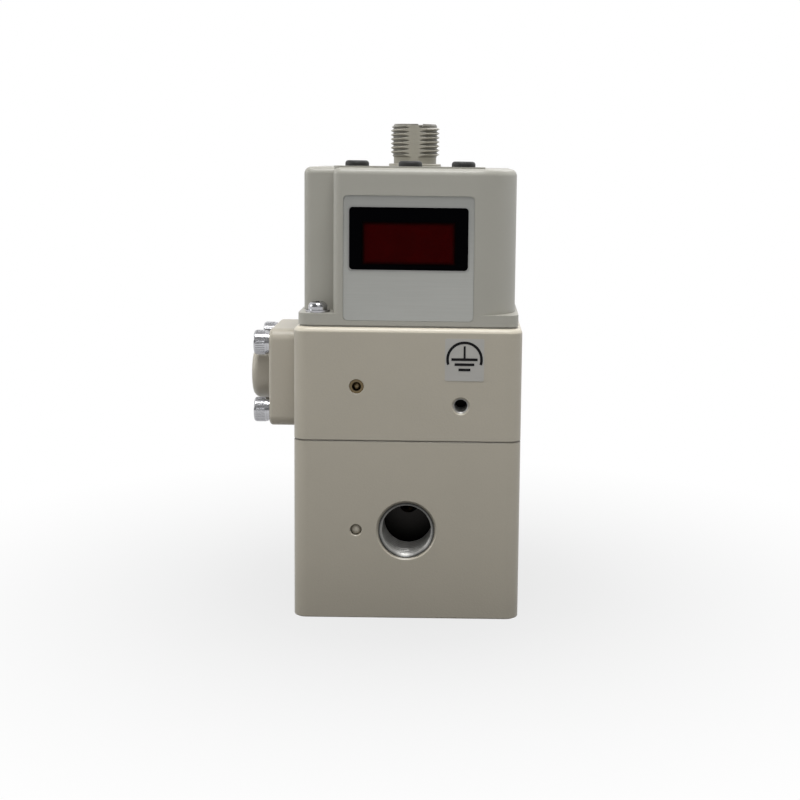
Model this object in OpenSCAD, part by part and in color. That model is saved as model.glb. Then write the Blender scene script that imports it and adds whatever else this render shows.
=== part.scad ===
// Square electro-pneumatic pressure regulator: a ported valve body, a pilot body with a side bonnet,
// and a moulded head with a display window, three keys and a round plug inlet.
// Millimetres, Z up. The front faces -Y, and the origin is the middle of the base face.

/* [Bodies] */
// Width of the valve body and the pilot body
body_w = 50; // [48:0.5:60]
// Depth of the valve body and the pilot body
body_d = 50; // [48:0.5:60]
// Radius of the upright corners of both bodies
body_corner_r = 3; // [2:0.25:4]
// Height of the pilot body
pilot_body_h = 25; // [24:0.5:32]
// Rounding of the pilot body's top edge
pilot_edge_r = 1.2; // [0.6:0.1:1.8]
// Rounding of the edges at the seam and at the base
seam_edge_r = 0.3; // [0.2:0.05:0.6]

/* [Ports] */
// Radius of the three pipe-threaded ports at the thread's pitch line
port_r = 6.15; // [5:0.05:6.4]
// Radius of the chamfer at each port's mouth
port_mouth_r = 6.7; // [6.5:0.05:7.2]
// Depth of each port
port_depth = 12.5; // [10:0.25:13]
// Height of the ports' axes above the seat's lower face
port_rise = 1.5; // [0.5:0.1:2.5]
// Radius of the passages from the supply and outlet ports
port_passage_r = 2.2; // [1.5:0.1:2.4]
// Radius of the passages from the exhaust port
exhaust_passage_r = 1.5; // [1:0.1:1.7]
// Radius of the pressure feedback hole
feedback_hole_r = 1; // [0.6:0.1:1.1]
// Sideways distance of the small passage plugs from the middle
passage_plug_x = 11.1; // [9:0.1:13]
// Radius of the plugged passage in the valve body
passage_hole_r = 1.25; // [1:0.05:1.6]
// Radius of the plugged passage in the pilot body
bleed_hole_r = 1.6; // [1.4:0.05:2]
// Wall of the brass sleeve in that passage
bleed_sleeve_t = 0.55; // [0.4:0.05:0.7]

/* [Fastening] */
// Spacing of the mounting holes across the base
mount_spacing_x = 24; // [20:0.5:26]
// Spacing of the mounting holes from front to back
mount_spacing_y = 40; // [38:0.5:42]
// Radius of the mounting holes, tapped M4
mount_hole_r = 1.65; // [1.5:0.05:2]
// Depth of the mounting holes
mount_hole_depth = 8; // [6:0.5:9]
// Radius of the earth screw's tapped hole
earth_hole_r = 1.65; // [1.5:0.05:2]
// Depth of the earth screw's hole
earth_hole_depth = 8; // [6:0.5:9]
// Sideways place of the earth screw's hole
earth_x = 11.7; // [10:0.1:14]
// Height of the earth screw's hole above the seam
earth_rise = 8; // [7:0.1:12]
// Distance of the long body screws from the body's sides
body_screw_inset = 4.5; // [4.2:0.1:5.5]
// Radius of the body screws' shanks
body_screw_r = 1.95; // [1.7:0.05:2.1]
// Length of thread that the body screws have in the pilot body
body_screw_grip = 13; // [10:0.5:14]

/* [Valve train] */
// Radius of the bore that the bottom cap closes
cap_r = 14; // [13:0.25:15]
// Height of the bottom cap's bore
cap_h = 8; // [7:0.25:9]
// Radius of the supply chamber
supply_chamber_r = 11; // [10.5:0.1:12]
// Height of the supply chamber below the seat
supply_chamber_h = 10.5; // [9.5:0.25:12]
// Thickness of the seat ring
seat_t = 2; // [1.5:0.1:2.5]
// Radius of the opening in the seat ring
seat_r = 6; // [5:0.1:6.5]
// Radius of the outlet chamber
outlet_chamber_r = 10; // [9.6:0.1:10.4]
// Height of the outlet chamber
outlet_chamber_h = 5; // [4.8:0.1:6]
// Height of the web that guides the stem
guide_web_h = 3; // [2.5:0.1:4]
// Radius of the exhaust chamber
exhaust_chamber_r = 5.6; // [5:0.1:6.2]
// Height of the exhaust chamber
exhaust_chamber_h = 3.5; // [3.4:0.1:5]
// Radius of the stem guide bush
guide_r = 7.2; // [6.8:0.1:7.4]
// Height of the stem guide bush
guide_h = 3; // [2.5:0.1:4]
// Height of the feedback chamber below the seam
feedback_chamber_h = 5; // [4.6:0.1:7]
// Radius of the chambers on both sides of the diaphragm
diaphragm_chamber_r = 17; // [16:0.25:18]
// Width of the diaphragm's clamped rim
diaphragm_rim = 3.8; // [3:0.1:4.4]
// Thickness of the diaphragm
diaphragm_t = 0.8; // [0.5:0.1:1.2]
// Radius of the diaphragm's backing plates
plate_r = 14; // [11:0.25:15]
// Thickness of each backing plate
plate_t = 1.5; // [1:0.1:1.8]
// Radius of the valve stem
stem_r = 3; // [2.8:0.05:3.4]
// Radius of the stem's threaded end
stud_r = 2.2; // [1.8:0.05:2.5]
// Radius of the relief passage inside the stem
relief_r = 1; // [0.6:0.1:1.1]
// Radius of the supply valve's disc
valve_disc_r = 8; // [7.5:0.1:9]
// Thickness of the supply valve's disc
valve_disc_t = 1.8; // [1.4:0.1:2.4]
// Thickness of the rubber face on that disc
valve_face_t = 1.2; // [0.8:0.1:1.6]
// Radius of the supply valve's tail
valve_tail_r = 2.5; // [2:0.1:3]
// Opening stroke of the valve train
valve_stroke = 1.2; // [0.6:0.1:1.4]
// Height of the pilot chamber above the seam
pilot_chamber_h = 6.5; // [6.2:0.1:7]

/* [Side bonnet] */
// Width and height of the bonnet's plate
bonnet_w = 22.4; // [22:0.1:22.8]
// Radius of the plate's corners
bonnet_corner_r = 2.5; // [1.5:0.1:4]
// Thickness of the plate
bonnet_t = 6.7; // [6:0.1:8]
// Thickness of the bonnet's gasket
bonnet_gasket_t = 0.5; // [0.3:0.1:0.8]
// Height of the bonnet's middle above the seam
bonnet_rise = 11.4; // [11.4:0.1:13]
// Radius of the spring housing on the plate
boss_r = 6.2; // [6:0.1:7]
// Reach of the spring housing past the plate
boss_h = 4.8; // [4:0.1:6]
// Wall of the spring housing
boss_wall = 1.7; // [1.4:0.1:2]
// Distance of the bonnet's screws from its middle, both ways
bonnet_screw_offset = 7.8; // [7.6:0.1:8]
// Length of thread that the bonnet's screws have in the pilot body
bonnet_screw_grip = 7; // [5:0.25:7.5]
// Radius of the pilot piston's bore
piston_bore_r = 4.3; // [3.8:0.05:4.4]
// Depth of the pilot piston's bore
piston_bore_depth = 9; // [8:0.25:9.5]
// Length of the pilot piston
piston_l = 6.5; // [6:0.25:8]
// Stroke of the pilot piston
piston_stroke = 0.8; // [0.4:0.1:1.2]

/* [Head] */
// Height of the moulded cover
cover_h = 34.1; // [33:0.1:38]
// Step from the bodies' sides in to the cover's flange
flange_step = 0.9; // [0.6:0.1:1.4]
// Height of the cover's flange
flange_h = 2.5; // [2:0.1:3.5]
// Step from the flange in to the cover's side walls
cover_step = 0.6; // [0.3:0.05:0.9]
// Wall of the cover
cover_wall = 1.7; // [1.6:0.1:2.3]
// Rounding of the cover's top edge
cover_edge_r = 1.5; // [1:0.1:1.6]
// Radius of the cover's two plain upright corners
cover_sweep_r = 9.5; // [7:0.25:10]
// Radius of the cover's other upright edges
cover_corner_r = 1.7; // [1.6:0.05:2.5]
// Width of the two corner notches that hold the cover's screws
notch_w = 7.1; // [6.5:0.05:7.4]
// Depth of those notches
notch_d = 7; // [6.4:0.1:8]
// Thickness of the gasket under the cover
cover_gasket_t = 0.4; // [0.3:0.05:0.8]
// Height of the raised field round the keys
field_h = 0.35; // [0.2:0.05:0.6]
// Radius of the cover screws' heads
cover_screw_head_r = 2.1; // [1.8:0.05:2.4]
// Length of thread that the cover's screws have in the pilot body
cover_screw_grip = 7; // [5:0.5:7.5]

/* [Display] */
// Plain front at each side of the display window
window_margin = 3.5; // [3.3:0.05:4]
// Height of the display window
window_h = 13.6; // [12:0.2:14.5]
// Drop from the cover's top to the window's upper edge
window_drop = 8.4; // [8.2:0.1:10]
// Sideways place of the window's middle
window_x = 0; // [-0.6:0.1:0]
// Black border at each side of the red filter
filter_border = 2.7; // [2:0.05:3.4]
// Height of the red filter
filter_h = 9.5; // [8:0.1:10]
// Border of the front film at the sides of the window
film_border = 1.3; // [0.8:0.1:1.3]
// Drop from the cover's top to the film's upper edge
film_drop = 5.9; // [5:0.1:7.5]
// Rise of the film's lower edge above the flange's base
film_rise = 1; // [0.6:0.1:2]
// Depth of the shallow seat that the film lies in
film_seat = 0.45; // [0.35:0.05:0.7]
// Thickness of the front film
film_t = 0.25; // [0.15:0.05:0.3]

/* [Keys] */
// Radius of the three keys
key_r = 2.6; // [2:0.1:2.9]
// Gap from the outer keys and their switches to the cover's wall
key_wall_gap = 0.15; // [0.1:0.05:2]
// Setback of the keys behind the cover's front
key_setback = 6.2; // [5.8:0.1:7]
// Rise of the keys above the field round them
key_rise = 1.2; // [0.8:0.1:2]
// Travel of each key
key_travel = 0.6; // [0.3:0.1:0.8]
// Height of the switches under the keys
switch_h = 3.2; // [2.5:0.1:4]

/* [Plug inlet] */
// Setback of the inlet's axis behind the cover's front
inlet_setback = 33; // [28:0.25:34]
// Outer radius of the inlet's M12 thread
inlet_thread_r = 5.75; // [5.6:0.05:6]
// Length of the inlet's thread
inlet_thread_l = 7.8; // [6:0.1:9]
// Radius of the collar on the cover
inlet_collar_r = 6.2; // [6.1:0.05:6.8]
// Thickness of that collar
inlet_collar_t = 0.8; // [0.6:0.1:1.2]
// Radius of the neck between collar and thread
inlet_neck_r = 5.05; // [4.9:0.05:5.3]
// Length of the neck
inlet_neck_l = 1.5; // [1:0.1:2.5]
// Radius of the inlet's bore
inlet_bore_r = 4.25; // [4.1:0.05:4.4]
// Depth of the inlet's socket
inlet_socket_depth = 7.5; // [6:0.1:8.5]
// Radius of the contact pins
contact_r = 0.5; // [0.4:0.05:0.6]
// Distance of the contact pins from the inlet's axis
contact_offset = 2.75; // [2.6:0.05:3]

/* [Solenoids and boards] */
// Width of each solenoid valve
solenoid_w = 11; // [10:0.25:12]
// Depth of each solenoid valve's case
solenoid_d = 15; // [12:0.5:16]
// Height of each solenoid valve
solenoid_h = 18; // [16:0.5:20]
// Gap from each solenoid valve to the posts beside it
solenoid_post_gap = 1; // [0.5:0.1:1.6]
// Gap from the solenoid valves to the pressure sensor in front of them
solenoid_sensor_gap = 0.5; // [0.3:0.1:1]
// Radius of the solenoid plungers
plunger_r = 3; // [2.5:0.1:3.5]
// Length of the solenoid plungers
plunger_l = 9; // [7:0.25:10]
// Lift of the solenoid plungers
plunger_lift = 0.4; // [0.2:0.1:0.6]
// Radius of the pressure sensor
sensor_r = 4.5; // [3.5:0.1:4.8]
// Height of the pressure sensor above the deck
sensor_h = 7; // [5:0.5:8]
// Thickness of the circuit boards
board_t = 1.6; // [1:0.1:2]
// Width across the flats of the board posts
post_af = 4.5; // [4:0.1:5]
// Gap from the posts to the cover's wall
post_wall_gap = 1; // [0.6:0.1:1.6]

/* [Hidden] */
$fn = 96;

// Clearances: a running fit, a fixed fit, a screw in a plain hole, and how far cuts run past a face
running_gap = 0.05;
fixed_gap = 0.05;
screw_gap = 0.25;
past = 1;

// Colours
paint_grey = [0.62, 0.6, 0.55];
bonnet_grey = [0.68, 0.66, 0.61];
cover_grey = [0.6, 0.6, 0.57];
film_grey = [0.64, 0.65, 0.64];
dark_grey = [0.2, 0.2, 0.21];
rubber_black = [0.1, 0.1, 0.1];
steel = [0.78, 0.79, 0.8];
brass = [0.72, 0.58, 0.33];
aluminium = [0.75, 0.76, 0.78];
board_green = [0.1, 0.35, 0.2];

// Levels of the valve train, from the base up
seat_z = cap_h + supply_chamber_h;
seat_top = seat_z + seat_t;
outlet_top = seat_top + outlet_chamber_h;
web_top = outlet_top + guide_web_h;
exhaust_top = web_top + exhaust_chamber_h;
guide_top = exhaust_top + guide_h;
seam_z = guide_top + feedback_chamber_h;
valve_body_h = seam_z;
diaphragm_z = seam_z - diaphragm_t;
plate_z = diaphragm_z - plate_t;
port_z = seat_z + port_rise;
deck_z = seam_z + pilot_body_h;

// Bottom cap and its seal
cap_recess = 0.4;
cap_guide_floor = 3.2;
spanner_hole_r = 1.5;
spanner_hole_offset = 8;
spanner_hole_depth = 2.5;
cap_seal_r = 0.9;
cap_groove_r = cap_r - 2 * cap_seal_r - 3 * fixed_gap;
cap_groove_z = 4.4;

// Supply valve, its spring and the stem
disc_z = seat_z - valve_face_t - valve_disc_t;
tail_z = cap_guide_floor + valve_stroke + 0.6;
valve_wire_r = 0.5;
stem_seal_r = 0.68;
stem_groove_r = stem_r - 2 * stem_seal_r + running_gap / 2;
stem_seal_levels = [web_top - 1, guide_top - 1];
relief_top = web_top + exhaust_chamber_h / 2;
nut_af = 8;
nut_h = 3;
stud_top = seam_z + plate_t + nut_h + 0.4;

// Passages in the bodies
supply_passage_z = seat_z - port_passage_r - 1.1;
outlet_passage_z = seat_top + outlet_chamber_h / 2;
riser_step = 2;
exhaust_riser_x = body_w / 2 - port_depth + riser_step;
feedback_y = guide_r + feedback_hole_r + 0.4;
plug_hole_depth = 5;
plug_sink = 0.2;
bleed_z = seam_z + pilot_body_h / 2 - 0.45;
bleed_hole_depth = 6;
bleed_sleeve_l = 3;
pilot_passage_r = 0.8;
pilot_inlet_l = 3;

// Corner screws
screw_x = body_w / 2 - body_screw_inset;
screw_y = body_d / 2 - body_screw_inset;
body_screw_head_r = 3.5;
body_screw_head_h = 4;
head_sink = 0.6;
hex_ratio = 1 / cos(30);

// Bonnet: local Z runs out from the body's left side, local X runs up
bonnet_z = seam_z + bonnet_rise;
bonnet_face = bonnet_gasket_t + bonnet_t;
boss_face = bonnet_face + boss_h;
bonnet_edge_r = 0.8;
boss_edge_r = 1.6;
gasket_inset = 0.4;
m3_r = 1.45;
m3_head_r = 2.75;
m3_head_h = 3;
m3_socket_af = 2.5;
m3_socket_depth = 1.6;
washer_t = 0.6;
washer_r = 2.6;
piston_r = piston_bore_r - running_gap;
piston_face = piston_l - piston_bore_depth;
spring_cup_depth = 2;
spring_room_r = boss_r - boss_wall;
pilot_wire_r = 0.5;
pilot_spring_r = piston_r - 1.3;
spring_cup_r = pilot_spring_r + pilot_wire_r + 0.1;
piston_seal_r = 0.6;
piston_groove_r = piston_r - 2 * piston_seal_r + running_gap / 2;
piston_groove_step = 2.5;
piston_groove_z = piston_groove_step - piston_bore_depth;

// Cover outline: two overlapping blocks leave a notch at the front left and the back right
flange_w = body_w - 2 * flange_step;
flange_d = body_d - 2 * flange_step;
flange_corner_r = body_corner_r - 0.5;
cover_w = flange_w - 2 * cover_step;
cover_d = flange_d;
cover_z = deck_z + cover_gasket_t;
cover_top = cover_z + cover_h;
ceiling = cover_top - cover_wall;
flange_top = cover_z + flange_h;
front_y = -cover_d / 2;
block_w = cover_w - notch_w;
block_d = cover_d - notch_d;
notch_x = cover_w / 2 - notch_w / 2;
notch_y = cover_d / 2 - notch_d / 2;
cover_screw_r = 1.2;
cover_screw_head_h = 1.7;
cover_washer_r = 2.7;
cover_washer_t = 0.5;
field_w = 2 * (cover_w / 2 - notch_w);
field_top = cover_top + field_h;
field_front = 1.7;
field_margin = 3.5;

// Display window, film and board behind it
window_w = field_w - 2 * window_margin;
filter_w = window_w - 2 * filter_border;
window_top = cover_top - window_drop;
window_z = window_top - window_h / 2;
window_corner_r = 0.8;
film_w = window_w + 2 * film_border;
film_top = cover_top - film_drop;
film_base = cover_z + film_rise;
film_h = film_top - film_base;
film_corner_r = 1;
film_back = front_y + film_seat;
bezel_sink = 0.1;
bezel_front = film_back - film_t + bezel_sink;
wall_back = front_y + cover_wall;
bezel_lip = 1;
bezel_lip_t = 0.5;
filter_z = window_z - 1;
filter_sink = 0.3;
filter_t = 1.5;
board_side = 2;
board_drop = 3;
led_gap = 0.3;
led_t = 4;
led_front = bezel_front + filter_sink + filter_t + 0.1;
display_board_front = led_front + led_t;

// Keys and control board, measured down from the ceiling
key_y = front_y + key_setback;
key_edge_r = 0.7;
key_lip = 0.3;
key_lip_t = 0.8;
key_lip_gap = 0.1;
switch_w = 5.2;
key_pitch = cover_w / 2 - notch_w - cover_wall - key_wall_gap - max(key_r + key_lip, switch_w / 2);
switch_button_r = 1.7;
switch_button_h = 0.7;
switch_top = ceiling - key_lip_gap - key_lip_t - key_travel - 0.1;
board_top = switch_top - switch_h;
board_z = board_top - board_t;
board_margin = 0.6;
header_w = 16;
header_side = 2.5;
post_r = post_af / 2 * hex_ratio;
post_x = cover_w / 2 - cover_wall - post_wall_gap - post_r;
post_ys = [9, -12];
board_screw_r = 1.1;
board_screw_head_r = 2;
board_screw_head_h = 1.4;
board_screw_l = 5;
lead_r = 0.35;
lead_offset = 2;

// Plug inlet
inlet_y = front_y + inlet_setback;
inlet_collar_top = cover_top + inlet_collar_t;
inlet_thread_z = inlet_collar_top + inlet_neck_l;
inlet_top = inlet_thread_z + inlet_thread_l;
inlet_nut_af = 13;
inlet_nut_h = 2.5;
inlet_tail = 0.9;
inlet_base = ceiling - inlet_nut_h - inlet_tail;
inlet_flat = inlet_thread_r - 0.75;
inlet_seal_t = 0.5;
inlet_insert_top = inlet_top - inlet_socket_depth;
contact_drop = 1.6;
inlet_key_x = 1.4;
inlet_key_w = 1;
inlet_key_h = 0.8;

// Pressure sensor and solenoid valves on the deck
sensor_seat = 1.5;
sensor_seal_t = 0.5;
sensor_port_r = 0.6;
sensor_port_l = 3;
sensor_lead_gap = 1.5;
sensor_y = display_board_front + board_t + header_side + sensor_lead_gap + lead_r;
solenoid_gasket_t = 0.5;
solenoid_base = deck_z + solenoid_gasket_t;
solenoid_foot_h = 3;
solenoid_foot = 3.5;
solenoid_foot_d = solenoid_d + 2 * solenoid_foot;
solenoid_x = post_x - post_r - solenoid_post_gap - solenoid_w / 2;
solenoid_y = sensor_y + sensor_r + solenoid_sensor_gap + solenoid_foot_d / 2;
solenoid_top = solenoid_base + solenoid_h;
solenoid_edge_r = 1;
plunger_wire_r = 0.25;
plunger_spring_r = 1.9;
plunger_spring_h = 3.5;
solenoid_screw_r = 0.85;
solenoid_screw_head_r = 1.6;
solenoid_screw_head_h = 1.2;
solenoid_screw_l = 8;

// Quarter disc that rounds an outer corner
module quarter_disc(r) {
    intersection() {
        circle(r);
        square(r);
    }
}

// Right half of an upright section with its outer corners rounded
module edge_profile(reach, h, top_r, base_r) {
    translate([0, base_r]) square([reach, h - base_r - top_r]);
    translate([0, base_r]) square([reach - top_r, h - base_r]);
    square([reach - base_r, h - top_r]);
    translate([reach - top_r, h - top_r]) quarter_disc(top_r);
    if (base_r > 0)
        translate([reach - base_r, base_r]) mirror([0, 1]) quarter_disc(base_r);
}

// Block with four upright corner radii, front left first and then anticlockwise, and soft edges
module soft_block(w, d, h, corners, top_r, base_r = 0) {
    turns = [180, 270, 0, 90];
    sides = [[-1, -1], [1, -1], [1, 1], [-1, 1]];
    for (i = [0:3]) {
        r = corners[i];
        next_r = corners[(i + 1) % 4];
        along = i % 2 == 0 ? w : d;
        across = i % 2 == 0 ? d : w;
        // One half of the block behind this side's edge, then the corner that starts it
        rotate([0, 0, 90 * i])
            translate([-along / 2 + r, 0, 0])
                rotate([90, 0, 90])
                    linear_extrude(along - r - next_r)
                        mirror([1, 0]) edge_profile(across / 2, h, top_r, base_r);
        translate([sides[i][0] * (w / 2 - r), sides[i][1] * (d / 2 - r), 0])
            rotate([0, 0, turns[i]])
                rotate_extrude(angle = 90) edge_profile(r, h, top_r, base_r);
    }
}

// Flat rectangle with rounded corners
module rounded_outline(w, d, r) {
    square([w - 2 * r, d], center = true);
    square([w, d - 2 * r], center = true);
    for (sx = [0, 1], sy = [0, 1])
        mirror([sx, 0]) mirror([0, sy])
            translate([w / 2 - r, d / 2 - r]) quarter_disc(r);
}

// Upright cylinder between two levels
module post(r, z0, z1, x = 0, y = 0) {
    translate([x, y, z0]) cylinder(r = r, h = z1 - z0);
}

// Flat ring between two levels
module ring(outer_r, inner_r, z0, z1) {
    difference() {
        post(outer_r, z0, z1);
        post(inner_r, z0 - past, z1 + past);
    }
}

// Round rubber ring
module o_ring(middle_r, section_r, z) {
    rotate_extrude() translate([middle_r, z]) circle(section_r, $fn = 48);
}

// Hexagonal prism
module hexagon(af, h) {
    cylinder(r = af / 2 * hex_ratio, h = h, $fn = 6);
}

// Socket-head cap screw: the head's underside is at zero and the shank runs down
module cap_screw(shank_r, shank_l, head_r, head_h, socket_af, socket_depth) {
    difference() {
        union() {
            rotate_extrude() edge_profile(head_r, head_h, 0.3, 0);
            translate([0, 0, -shank_l]) cylinder(r = shank_r, h = shank_l + head_h / 2);
        }
        translate([0, 0, head_h - socket_depth]) hexagon(socket_af, socket_depth + past);
    }
}

// Pan-head cross-recess screw, placed like the cap screw
module pan_screw(shank_r, shank_l, head_r, head_h) {
    slot_w = head_r * 0.28;
    slot_l = head_r * 1.15;
    difference() {
        union() {
            rotate_extrude() edge_profile(head_r, head_h, head_h * 0.6, 0);
            translate([0, 0, -shank_l]) cylinder(r = shank_r, h = shank_l + head_h / 2);
        }
        for (turn = [0, 90])
            rotate([0, 0, turn])
                translate([-slot_l / 2, -slot_w / 2, head_h * 0.45])
                    cube([slot_l, slot_w, head_h]);
    }
}

// Round-wire compression spring standing on zero, with half a turn closed at each end
module coil(middle_r, wire_r, h, turns) {
    sides = 6;
    steps = ceil(turns * 18);
    lift = h - 2 * wire_r;
    rows = [
        for (i = [0:steps])
            let (
                t = turns * i / steps,
                rise = min(1, max(0, (t - 0.5) / (turns - 1)))
            )
            for (j = [0:sides - 1])
                let (a = 360 * j / sides, reach = middle_r + wire_r * cos(a))
                [reach * cos(360 * t), reach * sin(360 * t), wire_r + lift * rise + wire_r * sin(a)]
    ];
    skin = [
        for (i = [0:steps - 1], j = [0:sides - 1])
            let (k = (j + 1) % sides)
            [i * sides + j, i * sides + k, (i + 1) * sides + k, (i + 1) * sides + j]
    ];
    ends = [
        [for (j = [sides - 1:-1:0]) j],
        [for (j = [0:sides - 1]) steps * sides + j]
    ];
    polyhedron(points = rows, faces = [for (f = concat(skin, ends)) [for (i = [len(f) - 1:-1:0]) f[i]]]);
}

// Copies at the four corners of a rectangle
module at_corners(x, y) {
    for (sx = [-1, 1], sy = [-1, 1])
        translate([sx * x, sy * y, 0]) children();
}

// A piece and its copy turned half round the upright axis
module twice() {
    for (turn = [0, 180])
        rotate([0, 0, turn]) children();
}

// Frame on the left side of the pilot body, local Z outwards and local X up
module on_left_side() {
    translate([-body_w / 2, 0, bonnet_z]) rotate([0, -90, 0]) children();
}

// Extrudes an outline seen from the front, from a back plane towards the viewer
module facing_front(x, y_back, z, t) {
    translate([x, y_back, z]) rotate([90, 0, 0]) linear_extrude(t) children();
}

// Hole drilled into the front face, with a chamfered mouth
module front_hole(x, z, r, depth, chamfer) {
    translate([x, -body_d / 2, z]) rotate([-90, 0, 0]) {
        translate([0, 0, -past]) cylinder(r = r, h = depth + past);
        translate([0, 0, -past])
            cylinder(r1 = r + chamfer + past, r2 = r, h = chamfer + past);
    }
}

// Threaded port cut into a face at the given distance from the middle
module port_cut(face) {
    mouth = port_mouth_r - port_r;
    translate([0, -face, port_z]) rotate([-90, 0, 0]) {
        translate([0, 0, -past]) cylinder(r = port_r, h = port_depth + past);
        translate([0, 0, -past])
            cylinder(r1 = port_mouth_r + past, r2 = port_r, h = mouth + past);
    }
}

module valve_body() {
    color(paint_grey)
        difference() {
            soft_block(body_w, body_d, valve_body_h, [for (i = [0:3]) body_corner_r],
                seam_edge_r, seam_edge_r);
            // Stepped bore of the valve train, from below and from above
            post(cap_r, -past, cap_h);
            post(supply_chamber_r, -past, seat_top);
            post(outlet_chamber_r, -past, outlet_top);
            post(stem_r + running_gap, -past, seam_z);
            post(exhaust_chamber_r, web_top, seam_z + past);
            post(guide_r, exhaust_top, seam_z + past);
            post(diaphragm_chamber_r, guide_top, seam_z + past);
            post(diaphragm_chamber_r + diaphragm_rim, diaphragm_z, seam_z + past);
            // Outlet at the front, supply at the left, exhaust at the right
            port_cut(body_d / 2);
            rotate([0, 0, -90]) port_cut(body_w / 2);
            rotate([0, 0, 90]) port_cut(body_w / 2);
            translate([0, 0, outlet_passage_z]) rotate([90, 0, 0])
                cylinder(r = port_passage_r, h = body_d / 2 - port_depth + port_passage_r);
            translate([0, 0, supply_passage_z]) rotate([0, -90, 0])
                cylinder(r = port_passage_r, h = body_w / 2 - port_depth + port_passage_r);
            translate([0, 0, relief_top]) rotate([0, 90, 0])
                cylinder(r = exhaust_passage_r, h = exhaust_riser_x);
            post(exhaust_passage_r + 0.3, port_z, relief_top + exhaust_passage_r + 0.4, exhaust_riser_x);
            post(feedback_hole_r, outlet_top - past, guide_top + past, 0, feedback_y);
            front_hole(-passage_plug_x, port_z, passage_hole_r, plug_hole_depth, 0.15);
            // Screw holes in the base
            at_corners(screw_x, screw_y) {
                post(body_screw_r + screw_gap, -past, seam_z + past);
                post(body_screw_head_r + screw_gap, -past, body_screw_head_h + head_sink);
            }
            at_corners(mount_spacing_x / 2, mount_spacing_y / 2)
                post(mount_hole_r, -past, mount_hole_depth);
        }
}

module bottom_cap() {
    color(aluminium)
        difference() {
            post(cap_r - fixed_gap, cap_recess, cap_h);
            ring(cap_r + past, cap_groove_r, cap_groove_z - cap_seal_r - 0.1,
                cap_groove_z + cap_seal_r + 0.1);
            post(valve_tail_r + running_gap, cap_guide_floor, cap_h + past);
            for (side = [-1, 1])
                post(spanner_hole_r, -past, cap_recess + spanner_hole_depth, side * spanner_hole_offset);
        }
}

module bottom_cap_seal() {
    color(rubber_black) o_ring(cap_groove_r + cap_seal_r + fixed_gap, cap_seal_r, cap_groove_z);
}

module body_screws() {
    shank_l = seam_z + body_screw_grip - body_screw_head_h - head_sink;
    color(steel)
        at_corners(screw_x, screw_y)
            translate([0, 0, body_screw_head_h + head_sink]) mirror([0, 0, 1])
                cap_screw(body_screw_r, shank_l, body_screw_head_r, body_screw_head_h, 3, 2);
}

module passage_plug() {
    ball_r = passage_hole_r - fixed_gap;
    color(paint_grey)
        translate([-passage_plug_x, -body_d / 2 + ball_r + plug_sink, port_z]) sphere(ball_r);
}

module valve_seat() {
    color(brass) ring(supply_chamber_r - fixed_gap, seat_r, seat_z, seat_top);
}

module supply_valve() {
    color(brass) {
        post(valve_disc_r, disc_z, seat_z - valve_face_t);
        post(valve_tail_r, tail_z, disc_z + valve_disc_t / 2);
    }
}

module supply_valve_face() {
    color(rubber_black) post(valve_disc_r - 0.2, seat_z - valve_face_t, seat_z);
}

module valve_spring() {
    color(steel)
        translate([0, 0, cap_h]) coil(valve_tail_r + 2.4, valve_wire_r, disc_z - cap_h, 4);
}

module valve_stem() {
    color(brass)
        difference() {
            union() {
                post(stem_r, seat_z, plate_z);
                post(stud_r, plate_z - past, stud_top);
            }
            for (z = stem_seal_levels)
                ring(stem_r + past, stem_groove_r, z - stem_seal_r - 0.05, z + stem_seal_r + 0.05);
            post(relief_r, seat_z - past, relief_top);
            translate([0, 0, relief_top]) rotate([0, 90, 0])
                cylinder(r = relief_r, h = 2 * (stem_r + past), center = true);
        }
}

module stem_seals() {
    color(rubber_black)
        for (z = stem_seal_levels)
            o_ring(stem_groove_r + stem_seal_r, stem_seal_r, z);
}

module stem_guide() {
    color(brass) ring(guide_r - fixed_gap, stem_r + running_gap, exhaust_top, guide_top);
}

module diaphragm() {
    color(rubber_black)
        ring(diaphragm_chamber_r + diaphragm_rim - fixed_gap, stud_r + fixed_gap, diaphragm_z, seam_z);
}

module lower_diaphragm_plate() {
    color(aluminium) ring(plate_r, stud_r + fixed_gap, plate_z, diaphragm_z);
}

module upper_diaphragm_plate() {
    color(aluminium) ring(plate_r, stud_r + fixed_gap, seam_z, seam_z + plate_t);
}

module diaphragm_nut() {
    color(steel)
        difference() {
            translate([0, 0, seam_z + plate_t]) hexagon(nut_af, nut_h);
            post(stud_r + fixed_gap, seam_z, seam_z + plate_t + nut_h + past);
        }
}

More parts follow.
